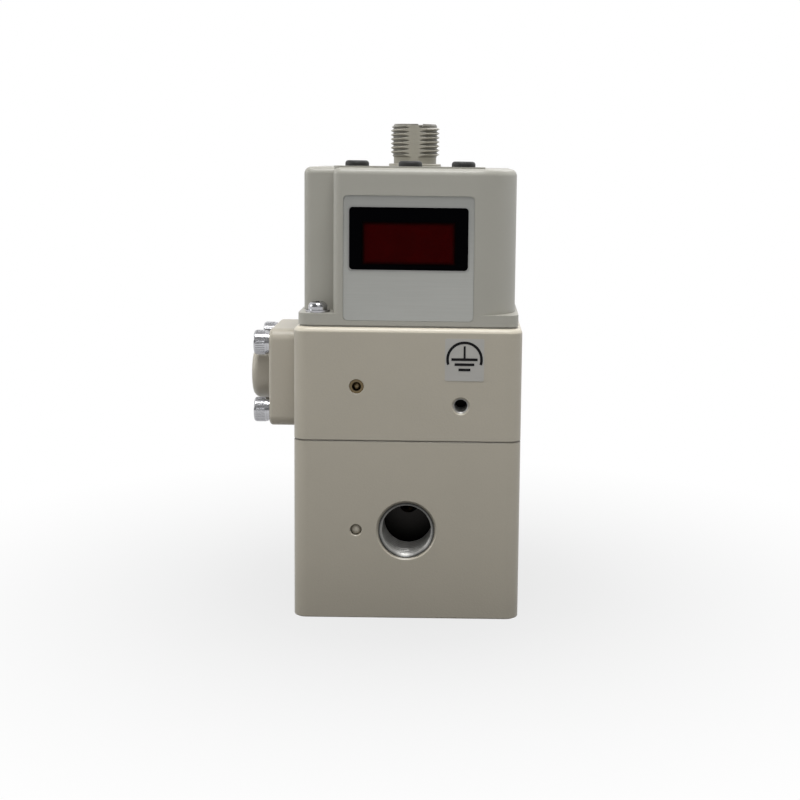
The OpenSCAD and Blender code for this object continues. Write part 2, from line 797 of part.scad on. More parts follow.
module pilot_body() {
    color(paint_grey)
        difference() {
            translate([0, 0, seam_z])
                soft_block(body_w, body_d, pilot_body_h, [for (i = [0:3]) body_corner_r],
                    pilot_edge_r, seam_edge_r);
            post(diaphragm_chamber_r, seam_z - past, seam_z + pilot_chamber_h);
            // Pilot piston's bore, its inlet and the bonnet's screw holes
            on_left_side() {
                post(piston_bore_r, -piston_bore_depth, past);
                post(pilot_passage_r, -piston_bore_depth - pilot_inlet_l, past);
                at_corners(bonnet_screw_offset, bonnet_screw_offset)
                    post(m3_r + fixed_gap, -bonnet_screw_grip - 0.5, past);
            }
            // Plugged bleed passage and tapped earth hole in the front
            front_hole(-passage_plug_x, bleed_z, bleed_hole_r, bleed_hole_depth, 0.1);
            front_hole(earth_x, seam_z + earth_rise, earth_hole_r, earth_hole_depth, 0.35);
            // Screw holes from below and from the deck
            at_corners(screw_x, screw_y)
                post(body_screw_r + fixed_gap, seam_z - past, seam_z + body_screw_grip + 0.5);
            twice()
                post(cover_screw_r + fixed_gap, deck_z - cover_screw_grip - 0.5, deck_z + past,
                    -notch_x, -notch_y);
            // Pilot passages under the solenoid valves, and the sensor's seat
            for (side = [-1, 1]) {
                post(pilot_passage_r, seam_z, deck_z + past, side * solenoid_x, solenoid_y);
                for (end = [-1, 1])
                    post(solenoid_screw_r + fixed_gap, deck_z - solenoid_screw_l + solenoid_foot_h,
                        deck_z + past, side * solenoid_x,
                        solenoid_y + end * (solenoid_d + solenoid_foot) / 2);
            }
            post(sensor_r + fixed_gap, deck_z - sensor_seat, deck_z + past, 0, sensor_y);
            post(sensor_port_r, deck_z - sensor_seat - sensor_port_l, deck_z, 0, sensor_y);
        }
}

module bleed_sleeve() {
    color(brass)
        translate([-passage_plug_x, -body_d / 2 + plug_sink, bleed_z]) rotate([-90, 0, 0])
            ring(bleed_hole_r - fixed_gap, bleed_hole_r - fixed_gap - bleed_sleeve_t, 0, bleed_sleeve_l);
}

module bleed_ball() {
    ball_r = bleed_hole_r - 2 * fixed_gap - bleed_sleeve_t;
    color(steel)
        translate([-passage_plug_x, -body_d / 2 + plug_sink + ball_r + 0.4, bleed_z]) sphere(ball_r);
}

module side_bonnet() {
    color(bonnet_grey)
        on_left_side()
            difference() {
                union() {
                    translate([0, 0, bonnet_gasket_t])
                        soft_block(bonnet_w, bonnet_w, bonnet_t, [for (i = [0:3]) bonnet_corner_r],
                            bonnet_edge_r);
                    translate([0, 0, bonnet_gasket_t])
                        rotate_extrude() edge_profile(boss_r, bonnet_t + boss_h, boss_edge_r, 0);
                }
                post(spring_room_r, 0, boss_face - boss_wall);
                at_corners(bonnet_screw_offset, bonnet_screw_offset)
                    post(m3_r + screw_gap, 0, bonnet_face + past);
            }
}

module bonnet_gasket() {
    color(rubber_black)
        on_left_side()
            difference() {
                linear_extrude(bonnet_gasket_t)
                    rounded_outline(bonnet_w - 2 * gasket_inset, bonnet_w - 2 * gasket_inset,
                        bonnet_corner_r - gasket_inset);
                post(spring_room_r + 0.2, -past, past);
                at_corners(bonnet_screw_offset, bonnet_screw_offset)
                    post(m3_r + screw_gap, -past, past);
            }
}

module bonnet_screws() {
    color(steel)
        on_left_side()
            at_corners(bonnet_screw_offset, bonnet_screw_offset)
                translate([0, 0, bonnet_face + washer_t])
                    cap_screw(m3_r, bonnet_face + washer_t + bonnet_screw_grip, m3_head_r, m3_head_h,
                        m3_socket_af, m3_socket_depth);
}

module bonnet_washers() {
    slit = 0.5;
    color(steel)
        on_left_side()
            at_corners(bonnet_screw_offset, bonnet_screw_offset)
                difference() {
                    ring(washer_r, m3_r + 0.15, bonnet_face, bonnet_face + washer_t);
                    translate([0, -slit / 2, bonnet_face - past])
                        cube([washer_r + past, slit, washer_t + 2 * past]);
                }
}

module pilot_piston() {
    color(brass)
        on_left_side()
            difference() {
                post(piston_r, -piston_bore_depth, piston_face);
                post(spring_cup_r, piston_face - spring_cup_depth, piston_face + past);
                ring(piston_r + past, piston_groove_r, piston_groove_z - piston_seal_r - 0.05,
                    piston_groove_z + piston_seal_r + 0.05);
            }
}

module pilot_piston_seal() {
    color(rubber_black)
        on_left_side() o_ring(piston_groove_r + piston_seal_r, piston_seal_r, piston_groove_z);
}

module pilot_spring() {
    cup_floor = piston_face - spring_cup_depth;
    color(steel)
        on_left_side()
            translate([0, 0, cup_floor])
                coil(pilot_spring_r, pilot_wire_r, boss_face - boss_wall - cup_floor, 7);
}

// Solenoid valve case on its foot, with the plunger's bore open towards the deck
module solenoid(side) {
    translate([side * solenoid_x, solenoid_y, 0])
        difference() {
            union() {
                translate([0, 0, solenoid_base])
                    linear_extrude(solenoid_foot_h)
                        rounded_outline(solenoid_w, solenoid_foot_d, solenoid_edge_r);
                translate([0, 0, solenoid_base])
                    soft_block(solenoid_w, solenoid_d, solenoid_h, [for (i = [0:3]) solenoid_edge_r], 0.6);
            }
            post(plunger_r + running_gap, solenoid_base - past, deck_z + plunger_l + plunger_spring_h);
            for (end = [-1, 1])
                post(solenoid_screw_r + screw_gap, solenoid_base - past,
                    solenoid_base + solenoid_foot_h + past, 0, end * (solenoid_d + solenoid_foot) / 2);
        }
}

module supply_solenoid() {
    color(dark_grey) solenoid(-1);
}

module exhaust_solenoid() {
    color(dark_grey) solenoid(1);
}

module supply_plunger() {
    color(steel) post(plunger_r, deck_z, deck_z + plunger_l, -solenoid_x, solenoid_y);
}

module exhaust_plunger() {
    color(steel) post(plunger_r, deck_z, deck_z + plunger_l, solenoid_x, solenoid_y);
}

// Return spring over a solenoid plunger
module plunger_spring(side) {
    translate([side * solenoid_x, solenoid_y, deck_z + plunger_l])
        coil(plunger_spring_r, plunger_wire_r, plunger_spring_h, 3.5);
}

module supply_plunger_spring() {
    color(steel) plunger_spring(-1);
}

module exhaust_plunger_spring() {
    color(steel) plunger_spring(1);
}

module solenoid_gaskets() {
    color(rubber_black)
        for (side = [-1, 1])
            translate([side * solenoid_x, solenoid_y, 0])
                difference() {
                    translate([0, 0, deck_z])
                        linear_extrude(solenoid_gasket_t)
                            rounded_outline(solenoid_w, solenoid_foot_d, solenoid_edge_r);
                    post(plunger_r + screw_gap, deck_z - past, solenoid_base + past);
                    for (end = [-1, 1])
                        post(solenoid_screw_r + screw_gap, deck_z - past, solenoid_base + past,
                            0, end * (solenoid_d + solenoid_foot) / 2);
                }
}

module solenoid_screws() {
    color(steel)
        for (side = [-1, 1], end = [-1, 1])
            translate([side * solenoid_x, solenoid_y + end * (solenoid_d + solenoid_foot) / 2,
                solenoid_base + solenoid_foot_h])
                pan_screw(solenoid_screw_r, solenoid_screw_l - past, solenoid_screw_head_r,
                    solenoid_screw_head_h);
}

module pressure_sensor() {
    color(steel)
        translate([0, sensor_y, 0])
            difference() {
                post(sensor_r, deck_z - sensor_seat + sensor_seal_t, deck_z + sensor_h);
                post(sensor_port_r, deck_z - sensor_seat, deck_z + 1);
            }
}

module sensor_seal() {
    color(rubber_black)
        translate([0, sensor_y, 0])
            ring(sensor_r - 0.6, sensor_r - 2.2, deck_z - sensor_seat, deck_z - sensor_seat + sensor_seal_t);
}

module board_leads() {
    color(brass)
        for (offset = [-lead_offset, lead_offset]) {
            post(lead_r, deck_z + sensor_h, board_z, offset, sensor_y);
            for (side = [-1, 1])
                post(lead_r, solenoid_top, board_z, side * solenoid_x + offset, solenoid_y + solenoid_d / 4);
        }
}

// Places of the four posts, two and two alike when turned half round
module at_posts() {
    for (y = post_ys)
        twice() translate([post_x, y, 0]) children();
}

module board_posts() {
    color(brass)
        at_posts()
            difference() {
                translate([0, 0, deck_z]) hexagon(post_af, board_z - deck_z);
                post(board_screw_r + fixed_gap, board_z - board_screw_l, board_z + past);
            }
}

// Outline inside the cover's walls, drawn in by a margin
module cavity_outline(margin) {
    inset = cover_wall + margin;
    twice()
        translate([notch_w / 2, -notch_d / 2])
            square([block_w - 2 * inset, block_d - 2 * inset], center = true);
}

// Outline inside the walls with the two plain corners rounded to follow them
module board_outline(margin) {
    sweep = cover_sweep_r - cover_wall - margin;
    intersection() {
        cavity_outline(margin);
        union() {
            rounded_outline(cover_w - 2 * (cover_wall + margin), cover_d - 2 * (cover_wall + margin), sweep);
            for (turn = [0, 180])
                rotate([0, 0, turn])
                    translate([-cover_w / 2, -cover_d / 2]) square([cover_w / 2, cover_d / 2]);
        }
    }
}

module control_board() {
    color(board_green)
        difference() {
            translate([0, 0, board_z]) linear_extrude(board_t) board_outline(board_margin);
            at_posts() post(board_screw_r + screw_gap, board_z - past, board_top + past);
        }
}

module board_screws() {
    color(steel)
        at_posts()
            translate([0, 0, board_top])
                pan_screw(board_screw_r, board_t + board_screw_l - past, board_screw_head_r,
                    board_screw_head_h);
}

module key_switches() {
    color(dark_grey)
        for (i = [-1:1])
            translate([i * key_pitch, key_y, 0]) {
                translate([-switch_w / 2, -switch_w / 2, board_top])
                    cube([switch_w, switch_w, switch_h - switch_button_h]);
                post(switch_button_r, board_top, switch_top);
            }
}

module display_board() {
    board_w = filter_w + 2 * board_side;
    board_base = filter_z - filter_h / 2 - board_drop;
    color(board_green)
        translate([window_x - board_w / 2, display_board_front, board_base])
            cube([board_w, board_t, board_z - board_base]);
}

module led_display() {
    color(dark_grey)
        facing_front(window_x, display_board_front, filter_z, led_t)
            square([filter_w - 2 * led_gap, filter_h - 2 * led_gap], center = true);
}

module board_header() {
    color(dark_grey)
        translate([window_x - header_w / 2, display_board_front + board_t, board_z - header_side])
            cube([header_w, header_side, header_side]);
}

// Key cap with a lip under the cover's top
module key(i) {
    lip_top = ceiling - key_lip_gap;
    translate([i * key_pitch, key_y, 0]) {
        translate([0, 0, lip_top - key_lip_t])
            rotate_extrude() edge_profile(key_r, field_top + key_rise - lip_top + key_lip_t, key_edge_r, 0);
        post(key_r + key_lip, lip_top - key_lip_t, lip_top);
    }
}

module left_key() {
    color(dark_grey) key(-1);
}

module middle_key() {
    color(dark_grey) key(0);
}

module right_key() {
    color(dark_grey) key(1);
}

// One of the cover's two overlapping blocks, drawn in by a margin, with the swept corner front right
module cover_block(margin, z0, z1, edge_r) {
    small_r = max(cover_corner_r - margin, edge_r + 0.1);
    translate([notch_w / 2, -notch_d / 2, z0])
        soft_block(block_w - 2 * margin, block_d - 2 * margin, z1 - z0,
            [small_r, cover_sweep_r - margin, small_r, small_r], edge_r);
}

module cover() {
    inner_edge_r = 0.5;
    field_d = key_setback - field_front + key_r + field_margin;
    color(cover_grey)
        difference() {
            union() {
                translate([0, 0, cover_z])
                    linear_extrude(flange_h) rounded_outline(flange_w, flange_d, flange_corner_r);
                twice() cover_block(0, cover_z + flange_h / 2, cover_top, cover_edge_r);
                translate([0, front_y + field_front + field_d / 2, cover_top - field_h])
                    linear_extrude(2 * field_h) rounded_outline(field_w, field_d, cover_edge_r);
            }
            twice() cover_block(cover_wall, cover_z - past, ceiling, inner_edge_r);
            // Film seat and window in the front wall
            facing_front(window_x, film_back, film_base + film_h / 2, film_seat + past)
                rounded_outline(film_w, film_h, film_corner_r);
            facing_front(window_x, wall_back + past, window_z, cover_wall + past)
                rounded_outline(window_w, window_h, window_corner_r);
            // Keys, plug inlet and screws
            for (i = [-1:1])
                post(key_r + running_gap, ceiling - past, field_top + past, i * key_pitch, key_y);
            post(inlet_neck_r + fixed_gap, ceiling - past, cover_top + past, 0, inlet_y);
            post(inlet_collar_r - 0.2, cover_top - inlet_seal_t, cover_top + past, 0, inlet_y);
            twice() post(cover_screw_r + screw_gap, cover_z - past, flange_top + past, -notch_x, -notch_y);
        }
}

module cover_gasket() {
    rim = 0.3;
    color(rubber_black)
        difference() {
            translate([0, 0, deck_z])
                linear_extrude(cover_gasket_t)
                    rounded_outline(flange_w - 2 * rim, flange_d - 2 * rim, flange_corner_r - rim);
            translate([0, 0, deck_z - past]) linear_extrude(cover_gasket_t + 2 * past) cavity_outline(0);
            twice() post(cover_screw_r + screw_gap, deck_z - past, cover_z + past, -notch_x, -notch_y);
        }
}

module cover_screws() {
    seat = flange_top + cover_washer_t;
    color(steel)
        twice()
            translate([-notch_x, -notch_y, seat])
                pan_screw(cover_screw_r, seat - deck_z + cover_screw_grip, cover_screw_head_r,
                    cover_screw_head_h);
}

module cover_washers() {
    color(steel)
        twice()
            translate([-notch_x, -notch_y, 0])
                ring(cover_washer_r, cover_screw_r + screw_gap, flange_top, flange_top + cover_washer_t);
}

module display_bezel() {
    color(rubber_black)
        difference() {
            union() {
                facing_front(window_x, wall_back + bezel_lip_t, window_z,
                    wall_back + bezel_lip_t - bezel_front)
                    rounded_outline(window_w - 2 * fixed_gap, window_h - 2 * fixed_gap, window_corner_r);
                facing_front(window_x, wall_back + bezel_lip_t, window_z, bezel_lip_t)
                    rounded_outline(window_w + 2 * bezel_lip, window_h + 2 * bezel_lip, window_corner_r);
            }
            facing_front(window_x, wall_back + past, filter_z, cover_wall + 2 * past)
                square([filter_w, filter_h], center = true);
        }
}

module display_filter() {
    color([0.35, 0.02, 0.03])
        facing_front(window_x, bezel_front + filter_sink + filter_t, filter_z, filter_t)
            square([filter_w - 2 * fixed_gap, filter_h - 2 * fixed_gap], center = true);
}

module front_film() {
    color(film_grey)
        difference() {
            facing_front(window_x, film_back, film_base + film_h / 2, film_t)
                rounded_outline(film_w - 2 * fixed_gap, film_h - 2 * fixed_gap, film_corner_r);
            facing_front(window_x, film_back + past, window_z, 2 * past)
                rounded_outline(window_w, window_h, window_corner_r);
        }
}

module inlet_shell() {
    color(paint_grey)
        translate([0, inlet_y, 0])
            difference() {
                union() {
                    post(inlet_neck_r, inlet_base, inlet_top - past);
                    post(inlet_collar_r, cover_top, inlet_collar_top);
                    // Thread, drawn plain at its outer radius, with one flat towards the front
                    difference() {
                        translate([0, 0, inlet_thread_z])
                            rotate_extrude() edge_profile(inlet_thread_r, inlet_thread_l, 0.4, 0.4);
                        translate([-inlet_thread_r, -inlet_flat - past, inlet_thread_z - past])
                            cube([2 * inlet_thread_r, past, inlet_thread_l + 2 * past]);
                    }
                }
                post(inlet_bore_r, inlet_base - past, inlet_top + past);
                translate([inlet_key_x - inlet_key_w / 2, -inlet_thread_r - past, inlet_top - inlet_key_h])
                    cube([inlet_key_w, inlet_thread_r, inlet_key_h + past]);
            }
}

// Places of the four contact pins
module at_contacts() {
    translate([0, inlet_y, 0])
        for (turn = [0:90:270])
            rotate([0, 0, turn]) translate([contact_offset, 0, 0]) children();
}

module inlet_insert() {
    color(dark_grey)
        difference() {
            post(inlet_bore_r - fixed_gap, inlet_base, inlet_insert_top, 0, inlet_y);
            at_contacts() post(contact_r + fixed_gap, inlet_base - past, inlet_insert_top + past);
        }
}

module inlet_pins() {
    color(brass)
        at_contacts()
            translate([0, 0, board_top])
                rotate_extrude()
                    edge_profile(contact_r, inlet_top - contact_drop - board_top, contact_r * 0.8, 0);
}

module inlet_nut() {
    color(steel)
        translate([0, inlet_y, 0])
            difference() {
                translate([0, 0, ceiling - inlet_nut_h]) hexagon(inlet_nut_af, inlet_nut_h);
                post(inlet_neck_r + fixed_gap, ceiling - inlet_nut_h - past, ceiling + past);
            }
}

module inlet_seal() {
    color(rubber_black)
        translate([0, inlet_y, 0])
            ring(inlet_collar_r - 0.3, inlet_neck_r + fixed_gap, cover_top - inlet_seal_t, cover_top);
}

valve_body();
bottom_cap();
bottom_cap_seal();
body_screws();
passage_plug();
valve_seat();
supply_valve();
supply_valve_face();
valve_spring();
valve_stem();
stem_seals();
stem_guide();
diaphragm();
lower_diaphragm_plate();
upper_diaphragm_plate();
diaphragm_nut();
pilot_body();
bleed_sleeve();
bleed_ball();
side_bonnet();
bonnet_gasket();
bonnet_screws();
bonnet_washers();
pilot_piston();
pilot_piston_seal();
pilot_spring();
supply_solenoid();
exhaust_solenoid();
supply_plunger();
exhaust_plunger();
supply_plunger_spring();
exhaust_plunger_spring();
solenoid_gaskets();
solenoid_screws();
pressure_sensor();
sensor_seal();
board_leads();
board_posts();
control_board();
board_screws();
key_switches();
display_board();
led_display();
board_header();
left_key();
middle_key();
right_key();
cover();
cover_gasket();
cover_screws();
cover_washers();
display_bezel();
display_filter();
front_film();
inlet_shell();
inlet_insert();
inlet_pins();
inlet_nut();
inlet_seal();
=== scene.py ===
"""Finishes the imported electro-pneumatic regulator.

Adds paints and metals, threads, knurling, sticker, display window, springs, diaphragm and stage.
"""

import itertools
import math

import bmesh
import bpy
from mathutils import Matrix, Vector


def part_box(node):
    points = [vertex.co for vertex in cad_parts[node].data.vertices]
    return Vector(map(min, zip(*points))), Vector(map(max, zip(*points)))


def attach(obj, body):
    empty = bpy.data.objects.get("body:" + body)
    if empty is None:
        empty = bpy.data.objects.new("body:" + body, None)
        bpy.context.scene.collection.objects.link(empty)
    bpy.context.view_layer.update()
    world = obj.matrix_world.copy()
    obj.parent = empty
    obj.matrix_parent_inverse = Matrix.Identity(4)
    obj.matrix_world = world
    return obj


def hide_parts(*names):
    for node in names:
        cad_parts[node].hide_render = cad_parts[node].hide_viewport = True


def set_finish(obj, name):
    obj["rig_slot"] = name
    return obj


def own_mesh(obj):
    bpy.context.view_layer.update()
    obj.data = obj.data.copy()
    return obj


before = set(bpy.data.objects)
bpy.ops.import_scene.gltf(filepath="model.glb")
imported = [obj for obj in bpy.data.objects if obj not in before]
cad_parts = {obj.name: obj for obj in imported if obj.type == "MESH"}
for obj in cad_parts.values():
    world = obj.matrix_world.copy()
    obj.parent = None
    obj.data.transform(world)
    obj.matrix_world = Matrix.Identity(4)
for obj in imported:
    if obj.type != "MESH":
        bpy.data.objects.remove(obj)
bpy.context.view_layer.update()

bl_info = {
    "name": "Electro-pneumatic regulator finish",
    "version": (1, 0, 0),
    "blender": (4, 5, 0),
    "location": "3D View > Sidebar > Regulator",
    "description": "Paints, threads, knurling, sticker, display, springs, diaphragm and stage",
    "category": "Object",
}

MM = 0.001
TURN = 2 * math.pi
QUARTER = math.pi / 2
CORNERS = ((1, 1), (-1, 1), (-1, -1), (1, -1))

# CAD parts that share a finish
PAINTED = ("valve_body", "pilot_body")
BLACK_PLASTIC = ("display_bezel", "led_display", "inlet_insert", "key_switches", "board_header")
KEYS = ("left_key", "middle_key", "right_key")
BRIGHT_STEEL = (
    "body_screws", "bonnet_screws", "bonnet_washers", "cover_screws", "cover_washers",
    "board_screws", "solenoid_screws", "valve_spring", "pilot_spring", "supply_plunger_spring",
    "exhaust_plunger_spring", "supply_plunger", "exhaust_plunger", "diaphragm_nut",
)
DULL_BRASS = ("bleed_sleeve", "bleed_ball")
BRASS = ("valve_seat", "supply_valve", "valve_stem", "inlet_pins", "inlet_nut", "board_posts")
ALUMINIUM = (
    "bottom_cap", "stem_guide", "lower_diaphragm_plate", "upper_diaphragm_plate", "pilot_piston",
    "pressure_sensor", "board_leads",
)
RUBBER = (
    "bottom_cap_seal", "supply_valve_face", "stem_seals", "diaphragm", "bonnet_gasket",
    "pilot_piston_seal", "solenoid_gaskets", "sensor_seal", "inlet_seal",
)
SOLENOIDS = ("supply_solenoid", "exhaust_solenoid")
BOARDS = ("control_board", "display_board")

# Holes of the CAD parts that get a threaded lining
PORT_LEVEL = 20 * MM
PORT_WALL = 6.14 * MM
PORT_END = 11.6 * MM
TAPPED_WALL = 1.64 * MM
TAPPED_END = 7.4 * MM
EARTH_HOLE_X, EARTH_HOLE_Z = 11.7 * MM, 48 * MM
BASE_HOLE_X, BASE_HOLE_Y = 12 * MM, 20 * MM
HOLE_MOUTH = 0.25 * MM

# Depth of paint inside the mouth of a bore, before the bore's painted shade begins
PAINT_SKIN = 1.2 * MM
BUMP_HEIGHT = 0.05 * MM

# Names of the two shader groups
GRAIN = "Cast grain"
BRUSHED = "Brushed strokes"


# Settings


def tint(label, meaning, value):
    """Colour in the sidebar."""
    return bpy.props.FloatVectorProperty(
        name=label, description=meaning, subtype="COLOR", size=3, min=0, max=1, default=value)


def span(label, meaning, low, high, value):
    """Length in the sidebar, given here in millimetres."""
    return bpy.props.FloatProperty(
        name=label, description=meaning, unit="LENGTH",
        min=low * MM, max=high * MM, default=value * MM)


def tilt(label, meaning, value):
    """Angle in the sidebar, given here in radians."""
    return bpy.props.FloatProperty(name=label, description=meaning, subtype="ANGLE", default=value)


def watts(label, meaning, value):
    """Power of a lamp in the sidebar, in watts."""
    return bpy.props.FloatProperty(name=label, description=meaning, min=0, max=20, default=value)


class RegulatorFinish(bpy.types.PropertyGroup):
    """Colours of the regulator's surfaces."""

    body_colour: tint(
        "Body paint", "Warm grey paint of the two die-cast bodies", (0.440, 0.405, 0.332))
    bonnet_colour: tint(
        "Bonnet paint", "Slightly lighter paint of the side bonnet", (0.455, 0.420, 0.350))
    cover_colour: tint("Cover", "Cool grey of the moulded cover", (0.376, 0.366, 0.322))
    film_colour: tint("Front film", "Silver grey of the brushed front film", (0.412, 0.415, 0.391))
    inlet_colour: tint(
        "Plug inlet", "Beige of the plug inlet's threaded shell", (0.345, 0.328, 0.276))
    key_colour: tint("Keys", "Dark grey of the three keys", (0.014, 0.014, 0.013))
    black_colour: tint("Bezel", "Black of the window's bezel", (0.0007, 0.0007, 0.0012))
    filter_colour: tint("Red filter", "Deep red of the display's filter", (0.058, 0.0003, 0.0006))
    sticker_colour: tint("Sticker", "Silver grey of the earth sticker", (0.425, 0.415, 0.390))


class RegulatorThreads(bpy.types.PropertyGroup):
    """Sizes of the threads."""

    inlet_pitch: span("Inlet pitch", "Pitch of the plug inlet's thread", 0.5, 1.5, 1.0)
    inlet_depth: span(
        "Inlet thread depth", "Height of the plug inlet's thread over its root", 0.3, 0.7, 0.6)
    inlet_flat: span(
        "Inlet flat", "Distance of the inlet's front flat from its axis", 4.7, 5.5, 5.0)
    port_pitch: span("Port pitch", "Pitch of the pipe thread in the three ports", 0.9, 1.9, 1.337)
    port_depth: span(
        "Port thread depth", "Height of the pipe thread in the three ports", 0.3, 0.8, 0.66)
    screw_pitch: span("Screw hole pitch", "Pitch of the thread in the tapped holes", 0.5, 0.8, 0.7)
    screw_depth: span(
        "Screw thread depth", "Height of the thread in the tapped holes", 0.1, 0.3, 0.22)


class RegulatorKnurl(bpy.types.PropertyGroup):
    """Sizes of the knurling on the socket-head screws."""

    ridges: bpy.props.IntProperty(
        name="Ridges", description="Knurl ridges round one screw head", min=16, max=60, default=36)
    ridge_radius: span("Ridge radius", "Radius of one knurl ridge", 0.05, 0.25, 0.13)


class RegulatorMarks(bpy.types.PropertyGroup):
    """Sizes of the sticker, the window's rim and the display's segments."""

    sticker_width: span("Sticker width", "Width of the earth sticker", 6, 10, 8.5)
    sticker_height: span("Sticker height", "Height of the earth sticker", 6, 11, 9.3)
    sign_stroke: span("Sign stroke", "Stroke width of the earth sign", 0.2, 0.8, 0.58)
    rim_width: span("Window rim", "Width of the light rim round the window", 0.1, 0.6, 0.3)
    digit_height: span(
        "Digit height", "Height of the unlit digits behind the red filter", 4, 8, 6.6)


class RegulatorStage(bpy.types.PropertyGroup):
    """Camera and light."""

    camera_place: bpy.props.FloatVectorProperty(
        name="Camera", description="Place of the camera",
        subtype="TRANSLATION", unit="LENGTH", size=3, default=(0.0122, -0.3200, 0.1021))
    camera_yaw: tilt("Yaw", "Turn of the camera about the vertical", 0.0001)
    camera_pitch: tilt("Pitch", "Tilt of the camera, negative looking down", -0.1185)
    camera_roll: tilt("Roll", "Roll of the camera", 0.013)
    camera_lens: bpy.props.FloatProperty(
        name="Lens", description="Focal length in millimetres", min=20, max=200, default=61.70)
    camera_shift: bpy.props.FloatVectorProperty(
        name="Shift", description="Shift of the frame", size=2, default=(-0.08, -0.10))
    top_power: watts("Top lamp", "Power of the wide lamp overhead in watts", 4.6)
    front_power: watts("Front lamp", "Power of the soft lamp in front in watts", 0.45)
    left_power: watts("Left lamp", "Power of the lamp at the left in watts", 1.5)
    right_power: watts("Right lamp", "Power of the lamp at the right in watts", 0.55)
    back_power: watts("Back lamp", "Power of the soft lamp behind in watts", 1.5)
    room_level: bpy.props.FloatProperty(
        name="Room light", description="Level of the even light from the room",
        min=0, max=1, default=0.30)


# Shader nodes


def add_node(tree, kind, links, **settings):
    """Adds a node with its settings and links {input socket: output socket or value}."""
    node = tree.nodes.new(kind)
    for name, value in settings.items():
        setattr(node, name, value)
    for name, source in links.items():
        if isinstance(source, bpy.types.NodeSocket):
            tree.links.new(source, node.inputs[name])
        else:
            node.inputs[name].default_value = source
    return node


def find_node(tree, kind):
    """First node of a kind."""
    return next(node for node in tree.nodes if node.type == kind)


def combine(tree, operation, first, second):
    """Result of a Math node."""
    return add_node(tree, "ShaderNodeMath", {0: first, 1: second}, operation=operation).outputs[0]


def combine_vectors(tree, operation, first, second=None):
    """Vector that a Vector Math node gives."""
    links = {0: first} if second is None else {0: first, 1: second}
    return add_node(tree, "ShaderNodeVectorMath", links, operation=operation).outputs["Vector"]


def sides_of(tree, vector):
    """X, Y and Z of a vector."""
    return add_node(tree, "ShaderNodeSeparateXYZ", {"Vector": vector}).outputs


def mixed(tree, factor, first, second):
    """Number between first and second."""
    links = {"Factor": factor, "A": first, "B": second}
    return add_node(tree, "ShaderNodeMix", links).outputs["Result"]


def ramp(tree, value, low, high, start=0.0, full=1.0, kind="LINEAR"):
    """Brings a value from low at start to high at full; each may be a socket."""
    links = {"Value": value, "From Min": start, "From Max": full, "To Min": low, "To Max": high}
    return add_node(tree, "ShaderNodeMapRange", links, interpolation_type=kind).outputs["Result"]


def noise(tree, place, scale, detail, roughness=0.5):
    """Noise between 0 and 1."""
    links = {"Vector": place, "Scale": scale, "Detail": detail, "Roughness": roughness}
    return add_node(tree, "ShaderNodeTexNoise", links).outputs["Fac"]


def surface_place(tree):
    """Place of the surface point in the shared frame."""
    return tree.nodes.new("ShaderNodeTexCoord").outputs["Object"]


def offset_from(tree, origin):
    """Place of the surface point, seen from an origin."""
    return combine_vectors(tree, "SUBTRACT", surface_place(tree), origin)


def reach_from(tree, origin, across):
    """Distance of the surface point from an origin, in the directions that across has as 1."""
    spoke = combine_vectors(tree, "MULTIPLY", offset_from(tree, origin), across)
    return add_node(tree, "ShaderNodeVectorMath", {0: spoke}, operation="LENGTH").outputs["Value"]


def shaded_colour(tree, colour, factor):
    """Colour times a value that changes over the surface."""
    links = {0: colour, "Scale": factor}
    return add_node(tree, "ShaderNodeVectorMath", links, operation="SCALE").outputs["Vector"]


# Shader groups


def add_socket(tree, label, side, kind):
    """Adds an input or output to a node group."""
    return tree.interface.new_socket(name=label, in_out=side, socket_type="NodeSocket" + kind)


def new_surface_group(name, values):
    """Shader group with a colour, float inputs and a surface's outputs; returns (tree, inputs)."""
    tree = bpy.data.node_groups.new(name, "ShaderNodeTree")
    add_socket(tree, "Colour", "INPUT", "Color").default_value = (0.5, 0.5, 0.5, 1)
    for label, value in values.items():
        add_socket(tree, label, "INPUT", "Float").default_value = value
    for label, kind in (("Colour", "Color"), ("Roughness", "Float"), ("Height", "Float")):
        add_socket(tree, label, "OUTPUT", kind)
    return tree, tree.nodes.new("NodeGroupInput").outputs


def close_surface_group(tree, given, major, contrast, minor, minor_contrast, height):
    """Links a group's outputs: two noises vary the colour, and the major one also the gloss."""
    low = combine(tree, "SUBTRACT", 1.0, contrast)
    high = combine(tree, "ADD", 1.0, contrast)
    factor = combine(tree, "MULTIPLY", ramp(tree, major, low, high),
                     ramp(tree, minor, 1 - minor_contrast, 1 + minor_contrast))
    drift = combine(tree, "MULTIPLY", major, given["Roughness drift"])
    result = tree.nodes.new("NodeGroupOutput").inputs
    tree.links.new(shaded_colour(tree, given["Colour"], factor), result["Colour"])
    tree.links.new(combine(tree, "ADD", given["Roughness"], drift), result["Roughness"])
    tree.links.new(height, result["Height"])


def add_grain_group():
    """Fine grain, slow drift of colour and gloss, and small pits, for paint, plastic and rubber."""
    tree, given = new_surface_group(GRAIN, {
        "Drift": 0.05, "Grain per metre": 2500.0, "Drift per metre": 60.0, "Roughness": 0.45,
        "Roughness drift": 0.08})
    place = surface_place(tree)
    grain = noise(tree, place, given["Grain per metre"], 2.0, 0.6)
    drift = noise(tree, place, given["Drift per metre"], 5.0, 0.62)
    pits = add_node(tree, "ShaderNodeTexVoronoi", {
        "Vector": place, "Scale": given["Grain per metre"]})
    height = combine(tree, "ADD", grain, ramp(tree, pits.outputs["Distance"], 0.0, 1.0))
    close_surface_group(tree, given, drift, given["Drift"], grain, 0.04, height)


